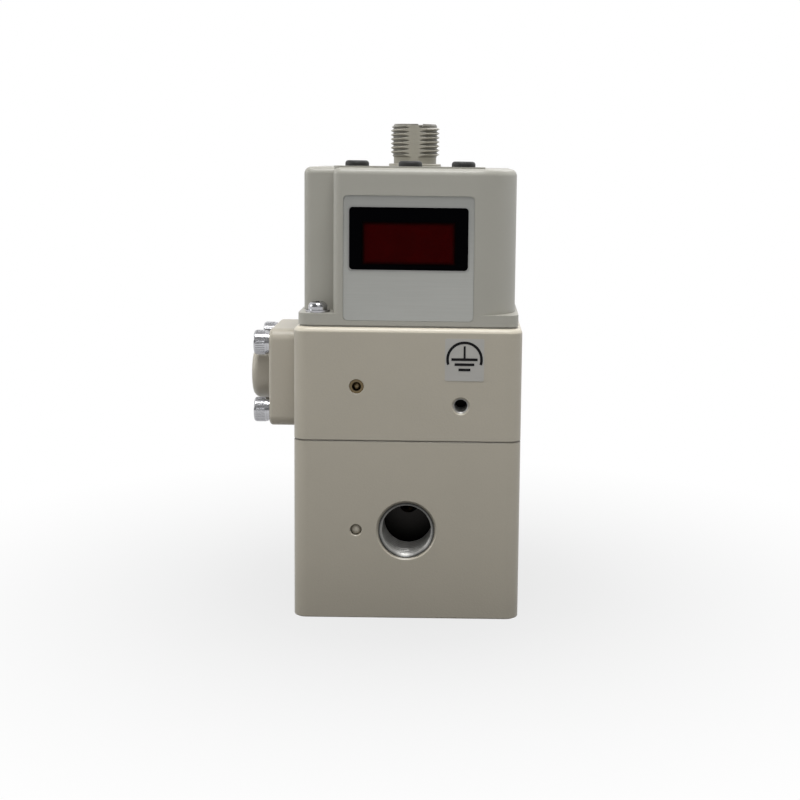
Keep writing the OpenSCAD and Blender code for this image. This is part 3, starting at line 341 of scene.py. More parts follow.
def add_brushed_group():
    """Straight brush strokes along X with a slow drift, for film and machined metal."""
    tree, given = new_surface_group(BRUSHED, {
        "Contrast": 0.08, "Strokes per metre": 6000.0, "Stroke stretch": 0.02, "Roughness": 0.35,
        "Roughness drift": 0.1})
    place = surface_place(tree)
    stretch = add_node(tree, "ShaderNodeCombineXYZ", {
        "X": given["Stroke stretch"], "Y": 1.0, "Z": 1.0})
    along = combine_vectors(tree, "MULTIPLY", place, stretch.outputs[0])
    strokes = noise(tree, along, given["Strokes per metre"], 3.0)
    drift = noise(tree, place, 45.0, 3.0)
    close_surface_group(tree, given, strokes, given["Contrast"], drift, 0.06, strokes)


# Materials


def dressed_material(name, group, colour, values, bump, gloss=None):
    """Principled material whose colour, roughness and bump come from a shader group.

    values go to the group's inputs, and gloss to the shader's.
    """
    material = bpy.data.materials.new(name)
    material.use_nodes = True
    tree = material.node_tree
    links = {"Colour": (*colour, 1), **values}
    coat = add_node(tree, "ShaderNodeGroup", links, node_tree=bpy.data.node_groups[group]).outputs
    relief = add_node(tree, "ShaderNodeBump", {
        "Height": coat["Height"], "Strength": bump, "Distance": BUMP_HEIGHT})
    shader = find_node(tree, "BSDF_PRINCIPLED").inputs
    tree.links.new(coat["Colour"], shader["Base Color"])
    tree.links.new(coat["Roughness"], shader["Roughness"])
    tree.links.new(relief.outputs["Normal"], shader["Normal"])
    for label, value in {"IOR": 1.5, **(gloss or {})}.items():
        shader[label].default_value = value
    material.diffuse_color = (*colour, 1)
    return material


def cut_metal(name):
    """Bare casting metal of a thread that was cut after painting."""
    strokes = {
        "Contrast": 0.2, "Strokes per metre": 3000.0, "Stroke stretch": 0.3, "Roughness": 0.30}
    return dressed_material(name, BRUSHED, (0.42, 0.415, 0.395), strokes, 0.3, {"Metallic": 0.30})


def depth_in_box(tree, node):
    """Depth of the surface point below the sides of a CAD node's box, as X, Y and Z."""
    low, high = (Vector(corner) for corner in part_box(node))
    reach = combine_vectors(tree, "ABSOLUTE", offset_from(tree, (low + high) / 2))
    return sides_of(tree, combine_vectors(tree, "SUBTRACT", (high - low) / 2, reach))


def bare_and_shade_the_bores(material, node, metal):
    """Leaves the bores of a painted casting, which are cut after painting, unpainted, in near-black
    metal that is painted shade.
    """
    tree = material.node_tree
    shader = find_node(tree, "BSDF_PRINCIPLED").inputs
    painted = shader["Base Color"].links[0].from_socket
    depth = depth_in_box(tree, node)
    nearest = combine(tree, "MINIMUM", combine(tree, "MINIMUM", depth["X"], depth["Y"]), depth["Z"])
    inside = combine(tree, "GREATER_THAN", nearest, PAINT_SKIN)
    mix = add_node(tree, "ShaderNodeMix", {
        "Factor": inside, "A": painted, "B": (*metal, 1)}, data_type="RGBA")
    tree.links.new(mix.outputs["Result"], shader["Base Color"])
    tree.links.new(inside, shader["Metallic"])


def shade(material, factor):
    """Multiplies a material's colour by a value from its own nodes."""
    tree = material.node_tree
    colour = find_node(tree, "BSDF_PRINCIPLED").inputs["Base Color"]
    tree.links.new(shaded_colour(tree, colour.links[0].from_socket, factor), colour)


def shade_by_height(material, start, full, gain):
    """Paints light or shade by height: brings a surface from its own colour at one height to gain
    times that colour at another.
    """
    tree = material.node_tree
    height = sides_of(tree, surface_place(tree))["Z"]
    shade(material, ramp(tree, height, 1.0, gain, start, full, "SMOOTHSTEP"))


def shade_by_reach(material, origin, across, start, full, gain):
    """Paints shade into a bore: brings it from its own colour at one distance from its axis to gain
    times at another.
    """
    tree = material.node_tree
    shade(material, ramp(tree, reach_from(tree, origin, across), 1.0, gain, start, full))


def paint_root_shade(material, axis, root, crest, flat, gain):
    """Paints shade into the inlet's thread towards its root, but not on the flat that faces the
    front.
    """
    tree = material.node_tree
    margin = 0.02 * MM
    sides = sides_of(tree, offset_from(tree, axis))
    round_side = combine(tree, "GREATER_THAN", sides["Y"], margin - flat)
    threaded = combine(tree, "GREATER_THAN", combine(tree, "MULTIPLY", sides["Z"], round_side), 0.0)
    groove_shade = ramp(tree, reach_from(tree, axis, (1, 1, 0)), gain, 1.0, root, crest)
    shade(material, mixed(tree, threaded, 1.0, groove_shade))


def paint_border_shade(material, node):
    """Paints shade into the red towards the filter's edges, as the display lies deep behind it."""
    tree = material.node_tree
    border, edge_shade_level = 1.1 * MM, 0.05
    depth = depth_in_box(tree, node)
    edge = combine(tree, "MINIMUM", depth["X"], depth["Z"])
    shade(material, ramp(tree, edge, edge_shade_level, 1.0, 0.0, border, "SMOOTHSTEP"))


def finish_nodes(material, nodes, slot):
    """Gives CAD nodes a material and the record's slot."""
    for name in nodes:
        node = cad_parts[name]
        node.data.materials.clear()
        node.data.materials.append(material)
        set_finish(node, slot)


def paint_bodies(colour, values):
    """Paints the castings, with bare bores painted near black as shade, a darker joint line that is
    painted shade and a pale top rim that is a painted highlight.
    """
    # Near-black metal of the bores: painted shade inside them
    bore_shade_metal = (0.018, 0.017, 0.016)
    # Pale top rim of the pilot body: painted highlight where its top fillet catches the light
    highlight_start, highlight_full, highlight_gain = 1.05 * MM, 0.85 * MM, 1.45
    # Darker band along the joint of the two bodies: painted shade between them
    seam_shade_start, seam_shade_full, seam_shade_gain = 0.35 * MM, 0.15 * MM, 0.5
    for node in PAINTED:
        coat = dressed_material(f"Paint on {node}", GRAIN, colour, values, 0.25)
        bare_and_shade_the_bores(coat, node, bore_shade_metal)
        base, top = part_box(node)[0][2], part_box(node)[1][2]
        if node == "pilot_body":
            # Painted highlight along the pilot body's top rim
            shade_by_height(coat, top - highlight_start, top - highlight_full, highlight_gain)
            # Painted shade along the joint, at the pilot body's base
            shade_by_height(coat, base + seam_shade_start, base + seam_shade_full, seam_shade_gain)
        else:
            # Painted shade along the joint, at the valve body's top
            shade_by_height(coat, top - seam_shade_start, top - seam_shade_full, seam_shade_gain)
        finish_nodes(coat, (node,), "body_paint")


def paint_parts(look):
    """Finishes every CAD part."""
    add_grain_group()
    add_brushed_group()
    paint = {"Drift": 0.05, "Grain per metre": 2600.0, "Drift per metre": 55.0,
             "Roughness": 0.33}
    mould = {"Drift": 0.04, "Grain per metre": 5200.0, "Drift per metre": 40.0,
             "Roughness": 0.36}
    dull = {"Drift": 0.18, "Grain per metre": 4000.0, "Drift per metre": 300.0,
            "Roughness": 0.55}
    glass = {"Drift": 0.45, "Grain per metre": 900.0, "Drift per metre": 260.0,
             "Roughness": 0.07, "Roughness drift": 0.05}
    foil = {"Contrast": 0.07, "Strokes per metre": 5000.0, "Roughness": 0.30}
    turned = {"Contrast": 0.10, "Strokes per metre": 3500.0, "Stroke stretch": 0.25,
              "Roughness": 0.16}
    satin = {**turned, "Roughness": 0.28}
    matt = {**turned, "Roughness": 0.40}
    metal = {"Metallic": 1.0}
    soft = {"Specular IOR Level": 0.3}

    paint_bodies(look.body_colour, paint)
    # CAD parts, slot, and what dressed_material takes
    finishes = (
        (("passage_plug",), "body_paint", "Paint on plug", GRAIN, look.body_colour, paint, 0.25),
        (("side_bonnet",), "bonnet_paint",
         "Bonnet paint", GRAIN, look.bonnet_colour, paint, 0.25),
        (("cover",), "cover_plastic", "Cover plastic", GRAIN, look.cover_colour, mould, 0.18),
        (("front_film",), "film", "Brushed film", BRUSHED, look.film_colour, foil, 0.10,
         {"Metallic": 0.35, "Specular IOR Level": 0.6}),
        (BLACK_PLASTIC, "black_plastic", "Black plastic", GRAIN, look.black_colour, dull, 0.15,
         {"Specular IOR Level": 0.01}),
        (KEYS, "key_plastic", "Key plastic", GRAIN, look.key_colour, dull, 0.25),
        (BRIGHT_STEEL, "steel",
         "Bright zinc", BRUSHED, (0.46, 0.46, 0.475), turned, 0.25, metal),
        (BRASS, "brass", "Machined brass", BRUSHED, (0.26, 0.185, 0.090), turned, 0.2, metal),
        (DULL_BRASS, "brass", "Dull brass", BRUSHED, (0.17, 0.13, 0.075), matt, 0.2, metal),
        (ALUMINIUM, "aluminium",
         "Machined aluminium", BRUSHED, (0.60, 0.61, 0.62), satin, 0.25, metal),
        (RUBBER, "rubber", "Rubber", GRAIN, (0.022, 0.022, 0.022), dull, 0.3, soft),
        (("cover_gasket",), "rubber",
         "Grey silicone", GRAIN, (0.30, 0.29, 0.26), dull, 0.2, soft),
        (SOLENOIDS, "black_plastic", "Coil resin", GRAIN, (0.030, 0.030, 0.033), dull, 0.25),
        (BOARDS, "board", "Solder mask", GRAIN, (0.010, 0.085, 0.032), dull, 0.15,
         {"Coat Weight": 0.4}),
        (("inlet_shell",), "inlet_metal", "Inlet shell", GRAIN, look.inlet_colour, paint, 0.2),
        (("display_filter",), "red_filter", "Red filter", GRAIN, look.filter_colour, glass, 0.02,
         {"Transmission Weight": 0.5, "IOR": 1.06}),
    )
    for nodes, slot, *finish in finishes:
        finish_nodes(dressed_material(*finish), nodes, slot)

    # Painted shade: the front film darkens towards its top
    film_low, film_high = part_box("front_film")
    shade_by_height(bpy.data.materials["Brushed film"],
                    film_low[2] + 5 * MM, film_high[2] - 1 * MM, 0.80)
    # Painted shade round the border of the red filter
    paint_border_shade(bpy.data.materials["Red filter"], "display_filter")


# Meshes


def skin(shell, loops):
    """Faces between each loop of points and the next."""
    for here, there in zip(loops, loops[1:]):
        for step in range(len(here)):
            after = (step + 1) % len(here)
            shell.faces.new((here[step], here[after], there[after], there[step]))


def settled_mesh(name, shell, place=None):
    """Mesh of a finished shell, with its faces turned outwards, moved to its place."""
    bmesh.ops.recalc_face_normals(shell, faces=shell.faces)
    if place is not None:
        bmesh.ops.transform(shell, matrix=place, verts=shell.verts)
    mesh = bpy.data.meshes.new(name)
    shell.to_mesh(mesh)
    shell.free()
    return mesh


def turned_mesh(name, stations, sides, place=None, shape=None):
    """Closed ring-shaped mesh turned about Z and then moved to its place.

    A station is (height, radius), where radius may be a rule of the angle. shape moves points.
    """
    shell = bmesh.new()
    rings = []
    for height, radius in stations:
        ring = []
        for step in range(sides):
            angle = TURN * step / sides
            reach = radius(angle) if callable(radius) else radius
            point = Vector((reach * math.cos(angle), reach * math.sin(angle), height))
            ring.append(shell.verts.new(shape(point) if shape else point))
        rings.append(ring)
    skin(shell, rings + rings[:1])
    return settled_mesh(name, shell, place)


def thread_rule(height, pitch, root, crest, fade):
    """Radius of a thread at a height, as a rule of the angle."""
    flank_slope, root_width = 1.55, 0.28

    def radius(angle):
        phase = (height / pitch - angle / TURN) % 1.0
        rise = min(1.0, max(0.0, flank_slope * (1 - abs(2 * phase - 1)) - root_width))
        return root + (crest - root) * rise * fade

    return radius


def thread_stations(start, end, pitch, root, crest, lead_in, lead_out, steps=12):
    """Stations of a thread from start to end, rising over lead_in and fading over lead_out."""
    count = max(2, round(abs(end - start) / pitch * steps))
    stations = []
    for step in range(count + 1):
        height = start + (end - start) * step / count
        fade = min(1.0, abs(height - start) / lead_in, abs(end - height) / lead_out)
        stations.append((height, thread_rule(height, pitch, root, crest, fade)))
    return stations


def line_hole(name, place, finish, wall, end, pitch, depth, sides):
    """Lines a hole with a thread that has a countersunk mouth; place's Z runs inwards."""
    start, gap = HOLE_MOUTH, 0.03 * MM
    lining = [(start, wall), (end, wall)]
    lining += thread_stations(
        end, start + depth, pitch, wall - gap, wall - depth, pitch * 0.5, pitch * 0.1)
    lining += [(start + depth * 0.9, wall - depth), (start, wall - gap)]
    mesh = turned_mesh(name, lining, sides, place)
    place_piece(name, mesh, finish, "aluminium", smooth=40)


def coil_mesh(name, middle, wire, length, turns, place, sides=12, steps=36):
    """Round-wire spring standing on zero along Z, with half a turn closed at each end."""
    spring = bmesh.new()
    section = [(wire * math.cos(TURN * side / sides), wire * math.sin(TURN * side / sides))
               for side in range(sides)]
    rings = []
    count = round(turns * steps)
    for step in range(count + 1):
        turn = turns * step / count
        rise = min(1.0, max(0.0, (turn - 0.5) / (turns - 1)))
        level = wire + (length - 2 * wire) * rise
        x, y = math.cos(TURN * turn), math.sin(TURN * turn)
        rings.append([spring.verts.new(((middle + out) * x, (middle + out) * y, level + up))
                      for out, up in section])
    skin(spring, rings)
    spring.faces.new(rings[0][::-1])
    spring.faces.new(rings[-1])
    return settled_mesh(name, spring, place)


def upright_loop(shell, outline, y):
    """Points of an outline of (x, z) at one depth."""
    return [shell.verts.new((x, y, z)) for x, z in outline]


def extrude_outlines(name, outlines, back, thickness):
    """Flat closed plates from outlines of (x, z), from back towards the front (-Y)."""
    plates = bmesh.new()
    for outline in outlines:
        rear = upright_loop(plates, outline, back)
        front = upright_loop(plates, outline, back - thickness)
        plates.faces.new(front)
        plates.faces.new(rear[::-1])
        skin(plates, [rear, front])
    return settled_mesh(name, plates)


def rounded_outline(x, z, width, height, radius, steps=6):
    """Rounded rectangle as a list of (x, z)."""
    points = []
    for corner, (sx, sz) in enumerate(CORNERS):
        for step in range(steps + 1):
            angle = QUARTER * (corner + step / steps)
            points.append((x + sx * (width / 2 - radius) + radius * math.cos(angle),
                           z + sz * (height / 2 - radius) + radius * math.sin(angle)))
    return points


def arc_outline(x, z, radius, stroke, start, end, steps):
    """Part of a round line as a list of (x, z)."""
    angles = [start + (end - start) * step / steps for step in range(steps + 1)]
    outer, inner = ([(x + reach * math.cos(a), z + reach * math.sin(a)) for a in angles]
                    for reach in (radius + stroke / 2, radius - stroke / 2))
    return outer + inner[::-1]


def bar_outline(x, z, width, height):
    """Upright rectangle as a list of (x, z)."""
    return [(x + sx * width / 2, z + sz * height / 2) for sx, sz in CORNERS]


def place_piece(name, mesh, material, slot, smooth=None, body="housing"):
    """Links a finished mesh to the scene on a body; smooth is the largest soft angle in degrees."""
    piece = bpy.data.objects.new(name, mesh)
    bpy.context.scene.collection.objects.link(piece)
    mesh.materials.clear()
    mesh.materials.append(material)
    if smooth is not None:
        mesh.shade_smooth()
        mesh.set_sharp_from_angle(angle=math.radians(smooth))
    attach(piece, body)
    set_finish(piece, slot)
    return piece


def node_middle(name):
    """Middle of a CAD node's box."""
    low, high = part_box(name)
    return (Vector(low) + Vector(high)) / 2


# Knurling by Geometry Nodes


def knurl_tree():
    """Ridges round a circle, repeated at each point of the mesh that carries the tree."""
    tree = bpy.data.node_groups.new("Screw head knurl", "GeometryNodeTree")
    for label, kind in (("Heads", "Geometry"), ("Ridges", "Int"), ("Head radius", "Float"),
                        ("Ridge radius", "Float"), ("Ridge length", "Float"),
                        ("Axis turn", "Vector"), ("Finish", "Material")):
        add_socket(tree, label, "INPUT", kind)
    add_socket(tree, "Knurl", "OUTPUT", "Geometry")
    given = tree.nodes.new("NodeGroupInput").outputs

    def grow(kind, links):
        """First output of a Geometry Nodes node."""
        return add_node(tree, "GeometryNode" + kind, links).outputs[0]

    circle = grow("MeshCircle", {"Vertices": given["Ridges"], "Radius": given["Head radius"]})
    ridge = grow("MeshCylinder", {
        "Vertices": 8, "Side Segments": 1, "Radius": given["Ridge radius"],
        "Depth": given["Ridge length"]})
    ring = grow("InstanceOnPoints", {"Points": circle, "Instance": ridge})
    heads = grow("InstanceOnPoints", {
        "Points": given["Heads"], "Instance": grow("RealizeInstances", {"Geometry": ring}),
        "Rotation": given["Axis turn"]})
    solid = grow("RealizeInstances", {"Geometry": heads})
    coloured = grow("SetMaterial", {"Geometry": solid, "Material": given["Finish"]})
    tree.links.new(coloured, tree.nodes.new("NodeGroupOutput").inputs["Knurl"])
    return tree


def grown_mesh(name, tree, points, values):
    """Plain mesh that a Geometry Nodes tree grows on the given points."""
    seed = bpy.data.meshes.new(name + "_points")
    seed.from_pydata(list(points), [], [])
    carrier = bpy.data.objects.new(seed.name, seed)
    bpy.context.scene.collection.objects.link(carrier)
    grow = carrier.modifiers.new("Grow", "NODES")
    grow.node_group = tree
    for item in tree.interface.items_tree:
        if item.name in values:
            grow[item.identifier] = values[item.name]
    graph = bpy.context.evaluated_depsgraph_get()
    graph.update()
    mesh = bpy.data.meshes.new_from_object(carrier.evaluated_get(graph))
    mesh.name = name
    bpy.data.objects.remove(carrier)
    if not mesh.polygons:
        raise RuntimeError(f"the tree grew nothing for {name}")
    return mesh


# Window


def add_rim(rim):
    """Flat light rim on the film, round the bezel."""
    film_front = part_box("front_film")[0][1]
    middle = node_middle("display_bezel")
    width, height, rise = 25.8 * MM, 13.6 * MM, 0.06 * MM
    outer = rounded_outline(middle.x, middle.z, width + 2 * rim, height + 2 * rim, 0.9 * MM)
    inner = rounded_outline(middle.x, middle.z, width, height, 0.6 * MM)
    ring = bmesh.new()
    rim_front = film_front - rise
    loops = [upright_loop(ring, outline, y) for outline, y in (
        (outer, film_front), (outer, rim_front), (inner, rim_front), (inner, film_front))]
    skin(ring, loops + loops[:1])
    finish = dressed_material(
        "Window rim", BRUSHED, (0.30, 0.30, 0.29), {"Contrast": 0.05, "Roughness": 0.3}, 0.05,
        {"Metallic": 0.3})
    place_piece("window_rim", settled_mesh("window_rim", ring), finish, "film")


def add_digits(digit_height):
    """Three leaning digits of seven unlit segments each."""
    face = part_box("led_display")[0][1]
    centre = node_middle("display_filter")
    bar, joint, pitch, lean, print_film = 0.75 * MM, 0.12 * MM, 6.2 * MM, 0.14, 0.04 * MM
    half_w, half_h = digit_height * 0.27, digit_height / 2
    strokes = [((-half_w, level), (half_w, level)) for level in (-half_h, 0.0, half_h)]
    strokes += [((side, base), (side, base + half_h))
                for side in (-half_w, half_w) for base in (-half_h, 0.0)]
    outlines = []
    for digit_x in (-pitch, 0.0, pitch):
        for start, end in (map(Vector, stroke) for stroke in strokes):
            way = (end - start).normalized()
            across = Vector((-way.y, way.x)) * bar / 2
            tip = way * bar / 2
            first, last = start + way * joint, end - way * joint
            corners = [first, first + tip + across, last - tip + across,
                       last, last - tip - across, first + tip - across]
            outlines.append([(centre.x + digit_x + p.x + lean * p.y, centre.z + p.y)
                             for p in corners])
    finish = dressed_material(
        "Unlit segment", GRAIN, (0.60, 0.10, 0.08),
        {"Drift": 0.1, "Grain per metre": 5000.0, "Roughness": 0.4}, 0.1)
    mesh = extrude_outlines("display_segments", outlines, face, print_film)
    place_piece("display_segments", mesh, finish, "red_filter")


# Stage


def seen_directly(tree):
    """1 for camera, mirror and see-through rays, 0 for the rays that light the object."""
    rays = tree.nodes.new("ShaderNodeLightPath").outputs
    first = combine(tree, "MAXIMUM", rays["Is Camera Ray"], rays["Is Glossy Ray"])
    return combine(tree, "MAXIMUM", first, rays["Is Transmission Ray"])


def floor_paper():
    """White paper that keeps a faint shadow, partly painted as it greys near the part, is painted
    dark there as shade on the part's lower walls, and lets the part be seen from below.
    """
    material = bpy.data.materials.new("Floor paper")
    material.use_nodes = True
    tree = material.node_tree
    shader = find_node(tree, "BSDF_PRINCIPLED")
    shader.inputs["Roughness"].default_value = 0.9
    white = add_node(tree, "ShaderNodeEmission", {"Color": (1, 1, 1, 1), "Strength": 1.0})
    distance = reach_from(tree, (0, 0, 0), (1, 1, 1))
    # Near the part the paper is nearly black to the rays that light the part, painted shade on its
    # lower walls, and shows the camera grey, a painted shadow round the base
    whiteness = ramp(tree, distance, 0.80, 1.0, 0.02, 0.14)
    painted_floor_shade = ramp(tree, distance, 0.02, 0.45, 0.04, 0.14)
    tree.links.new(painted_floor_shade, shader.inputs["Base Color"])
    share = combine(tree, "MULTIPLY", seen_directly(tree), whiteness)
    paper = add_node(tree, "ShaderNodeMixShader", {
        "Fac": share, 1: shader.outputs["BSDF"], 2: white.outputs["Emission"]})
    clear = tree.nodes.new("ShaderNodeBsdfTransparent")
    below = tree.nodes.new("ShaderNodeNewGeometry").outputs["Backfacing"]
    sided = add_node(tree, "ShaderNodeMixShader", {
        "Fac": below, 1: paper.outputs["Shader"], 2: clear.outputs["BSDF"]})
    surface = find_node(tree, "OUTPUT_MATERIAL").inputs["Surface"]
    tree.links.new(sided.outputs["Shader"], surface)
    return material


def lay_floor(scene):
    """Floor with a hole under the centred part, so that the base shows from below."""
    mesh = bpy.data.meshes.new("floor")
    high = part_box("valve_body")[1]
    reach, tuck, drop = 4.0, 0.8 * MM, -0.05 * MM
    points = [(sx * x, sy * y, drop) for x, y in (
        (reach, reach), (high[0] - tuck, high[1] - tuck)) for sx, sy in CORNERS]
    quads = [(i, (i + 1) % 4, 4 + (i + 1) % 4, 4 + i) for i in range(4)]
    mesh.from_pydata(points, [], quads)
    floor = bpy.data.objects.new("floor", mesh)
    scene.collection.objects.link(floor)
    mesh.materials.append(floor_paper())


def room(level):
    """White room whose light on the object has its own level."""
    world = bpy.data.worlds.new("Room")
    world.use_nodes = True
    tree = world.node_tree
    background = find_node(tree, "BACKGROUND").inputs
    way = tree.nodes.new("ShaderNodeTexCoord").outputs["Generated"]
    backdrop = ramp(tree, sides_of(tree, way)["Y"], level * 0.6, 1.0, -0.25, 0.35, "SMOOTHSTEP")
    camera_ray = tree.nodes.new("ShaderNodeLightPath").outputs["Is Camera Ray"]
    seen = mixed(tree, camera_ray, backdrop, 1.0)
    strength = mixed(tree, seen_directly(tree), level, seen)
    background["Color"].default_value = (1, 1, 1, 1)
    tree.links.new(strength, background["Strength"])
    return world


def hang_lamps(scene, stage):
    """Soft square lamps, all turned to the middle of the part."""
    target = Vector((0, 0, 0.06))
    # Side, width and place
    lamps = (
        ("top", 0.34, (0.02, -0.20, 0.78)), ("front", 0.40, (0.10, -0.60, 0.40)),
        ("left", 0.36, (-0.70, -0.05, 0.30)), ("right", 0.36, (0.70, 0.10, 0.30)),
        ("back", 0.40, (0.25, 0.50, 0.62)),
    )
    for side, width, place in lamps:
        lamp = bpy.data.lights.new(side + "_lamp", "AREA")
        lamp.energy = getattr(stage, side + "_power")
        lamp.size = width
        holder = bpy.data.objects.new(lamp.name, lamp)
        holder.location = place
        way = target - Vector(place)
        holder.rotation_euler = way.to_track_quat("-Z", "Y").to_euler()
        scene.collection.objects.link(holder)


# Operators


class REGULATOR_OT_finish(bpy.types.Operator):
    """Paints every CAD part in the finish of the real piece"""

    bl_idname = "regulator.finish"
    bl_label = "Finish the parts"

    def execute(self, context):
        paint_parts(context.scene.regulator_finish)
        unfinished = [name for name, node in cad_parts.items() if "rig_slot" not in node]
        if unfinished:
            raise RuntimeError(f"no finish for {unfinished}")
        return {"FINISHED"}


class REGULATOR_OT_inlet_thread(bpy.types.Operator):
    """Cuts the plug inlet's thread, with its front flat and the keyway in its rim"""

    bl_idname = "regulator.inlet_thread"
    bl_label = "Thread the plug inlet"

    def execute(self, context):
        size = context.scene.regulator_threads
        low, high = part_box("inlet_shell")
        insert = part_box("inlet_insert")
        axis = node_middle("inlet_insert")
        cover_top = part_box("inlet_seal")[1][2]
        collar = (high[0] - low[0]) / 2
        collar_top = cover_top + 0.8 * MM
        thread_base = collar_top + 1.5 * MM
        top = high[2]
        bore = insert[1][0] - axis.x + 0.05 * MM
        crest = collar - 0.45 * MM
        neck = crest - 0.7 * MM
        root = crest - size.inlet_depth
        edge, lead, root_shade_gain = 0.15 * MM, 0.5 * MM, 0.45
        rim, bevel, bore_bevel = 0.35 * MM, 0.25 * MM, 0.3 * MM
        keyway_x, keyway_half, keyway_floor = 1.4 * MM, 0.5 * MM, top - 0.8 * MM

        def cut(point):
            """Flat towards the front and the keyway in the rim."""
            if point.z > thread_base and point.y < -size.inlet_flat:
                point.y = -size.inlet_flat
            if point.y < 0 and abs(point.x - keyway_x) < keyway_half:
                point.z = min(point.z, keyway_floor)
            return point

        stations = [
            (low[2], bore), (low[2], neck), (cover_top, neck), (cover_top, collar - edge),
            (cover_top + edge, collar), (collar_top - edge, collar), (collar_top, collar - edge),
            (collar_top, neck), (thread_base, neck)]
        stations += thread_stations(
            thread_base + edge, top - rim, size.inlet_pitch, root, crest, lead, lead)
        stations += [(top, root - bevel), (top, bore + bore_bevel), (top - bore_bevel, bore)]
        finish = bpy.data.materials["Inlet shell"]
        # Painted shade in the roots of the inlet's thread
        paint_root_shade(
            finish, (axis.x, axis.y, thread_base), root, crest, size.inlet_flat, root_shade_gain)
        name = "inlet_shell_threaded"
        mesh = turned_mesh(name, stations, 144, Matrix.Translation((axis.x, axis.y, 0)), cut)
        piece = place_piece(name, mesh, finish, "inlet_metal", smooth=35)
        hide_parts("inlet_shell")
        return {"FINISHED"}


class REGULATOR_OT_port_threads(bpy.types.Operator):
    """Lines the outlet, supply and exhaust ports with their pipe threads"""

    bl_idname = "regulator.port_threads"
    bl_label = "Thread the ports"

    def execute(self, context):
        size = context.scene.regulator_threads
        low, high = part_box("valve_body")
        crest = PORT_WALL - size.port_depth
        bright, dark, root_shade_gain = crest + 0.08 * MM, PORT_WALL - 0.12 * MM, 0.10
        # Mouth, turn and axis of the turn inwards, and the directions across the port
        ports = {
            "outlet_port_thread": ((0, low[1], PORT_LEVEL), -QUARTER, "X", (1, 0, 1)),
            "supply_port_thread": ((low[0], 0, PORT_LEVEL), QUARTER, "Y", (0, 1, 1)),
            "exhaust_port_thread": ((high[0], 0, PORT_LEVEL), -QUARTER, "Y", (0, 1, 1)),
        }
        for name, (mouth, turn, axis, across) in ports.items():
            finish = cut_metal(f"Metal of {name}")
            # Painted shade: the lining darkens from its crest towards the port's wall
            shade_by_reach(finish, (0, 0, PORT_LEVEL), across, bright, dark, root_shade_gain)
            place = Matrix.Translation(mouth) @ Matrix.Rotation(turn, 4, axis)
            line_hole(name, place, finish, PORT_WALL, PORT_END,
                      size.port_pitch, size.port_depth, 96)
        return {"FINISHED"}


class REGULATOR_OT_tapped_holes(bpy.types.Operator):
    """Lines the earth hole and the four holes in the base with their threads"""

    bl_idname = "regulator.tapped_holes"
    bl_label = "Thread the tapped holes"

    def execute(self, context):
        size = context.scene.regulator_threads
        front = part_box("pilot_body")[0][1]
        mouth = Matrix.Translation((EARTH_HOLE_X, front, EARTH_HOLE_Z))
        places = {"earth_hole_thread": mouth @ Matrix.Rotation(-QUARTER, 4, "X")}
        for number, (sx, sy) in enumerate(CORNERS, 1):
            mouth = (sx * BASE_HOLE_X, sy * BASE_HOLE_Y, 0)
            places[f"base_hole_thread_{number}"] = Matrix.Translation(mouth)
        finish = cut_metal("Metal of the tapped holes")
        for name, place in places.items():
            line_hole(name, place, finish, TAPPED_WALL, TAPPED_END,
                      size.screw_pitch, size.screw_depth, 48)
        return {"FINISHED"}


class REGULATOR_OT_knurls(bpy.types.Operator):
    """Knurls the heads of the bonnet's and the body's socket-head screws"""

    bl_idname = "regulator.knurls"
    bl_label = "Knurl the screw heads"

    def execute(self, context):
        size = context.scene.regulator_knurl
        tree = knurl_tree()
        finish = bpy.data.materials["Bright zinc"]
        sunk = 0.3
        # Node, axis of the screws, its turn from Z, and the head's radius, height and edge
        heads = {
            "bonnet_screw_knurls": (
                "bonnet_screws", 0, (0.0, QUARTER, 0.0), 2.75 * MM, 3.0 * MM, 0.45 * MM),
            "body_screw_knurls": (
                "body_screws", 2, (0.0, 0.0, 0.0), 3.5 * MM, 4.0 * MM, 0.5 * MM),
        }
        for name, (node, axis, turn, radius, height, edge) in heads.items():
            low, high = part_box(node)
            places = [(low[side] + radius, high[side] - radius) for side in range(3)]
            places[axis] = (low[axis] + height / 2,)
            points = itertools.product(*places)
            mesh = grown_mesh(name, tree, points, {
                "Ridges": size.ridges, "Head radius": radius - size.ridge_radius * sunk,
                "Ridge radius": size.ridge_radius, "Ridge length": height - 2 * edge,
                "Axis turn": turn, "Finish": finish})
            place_piece(name, mesh, finish, "steel")
        return {"FINISHED"}


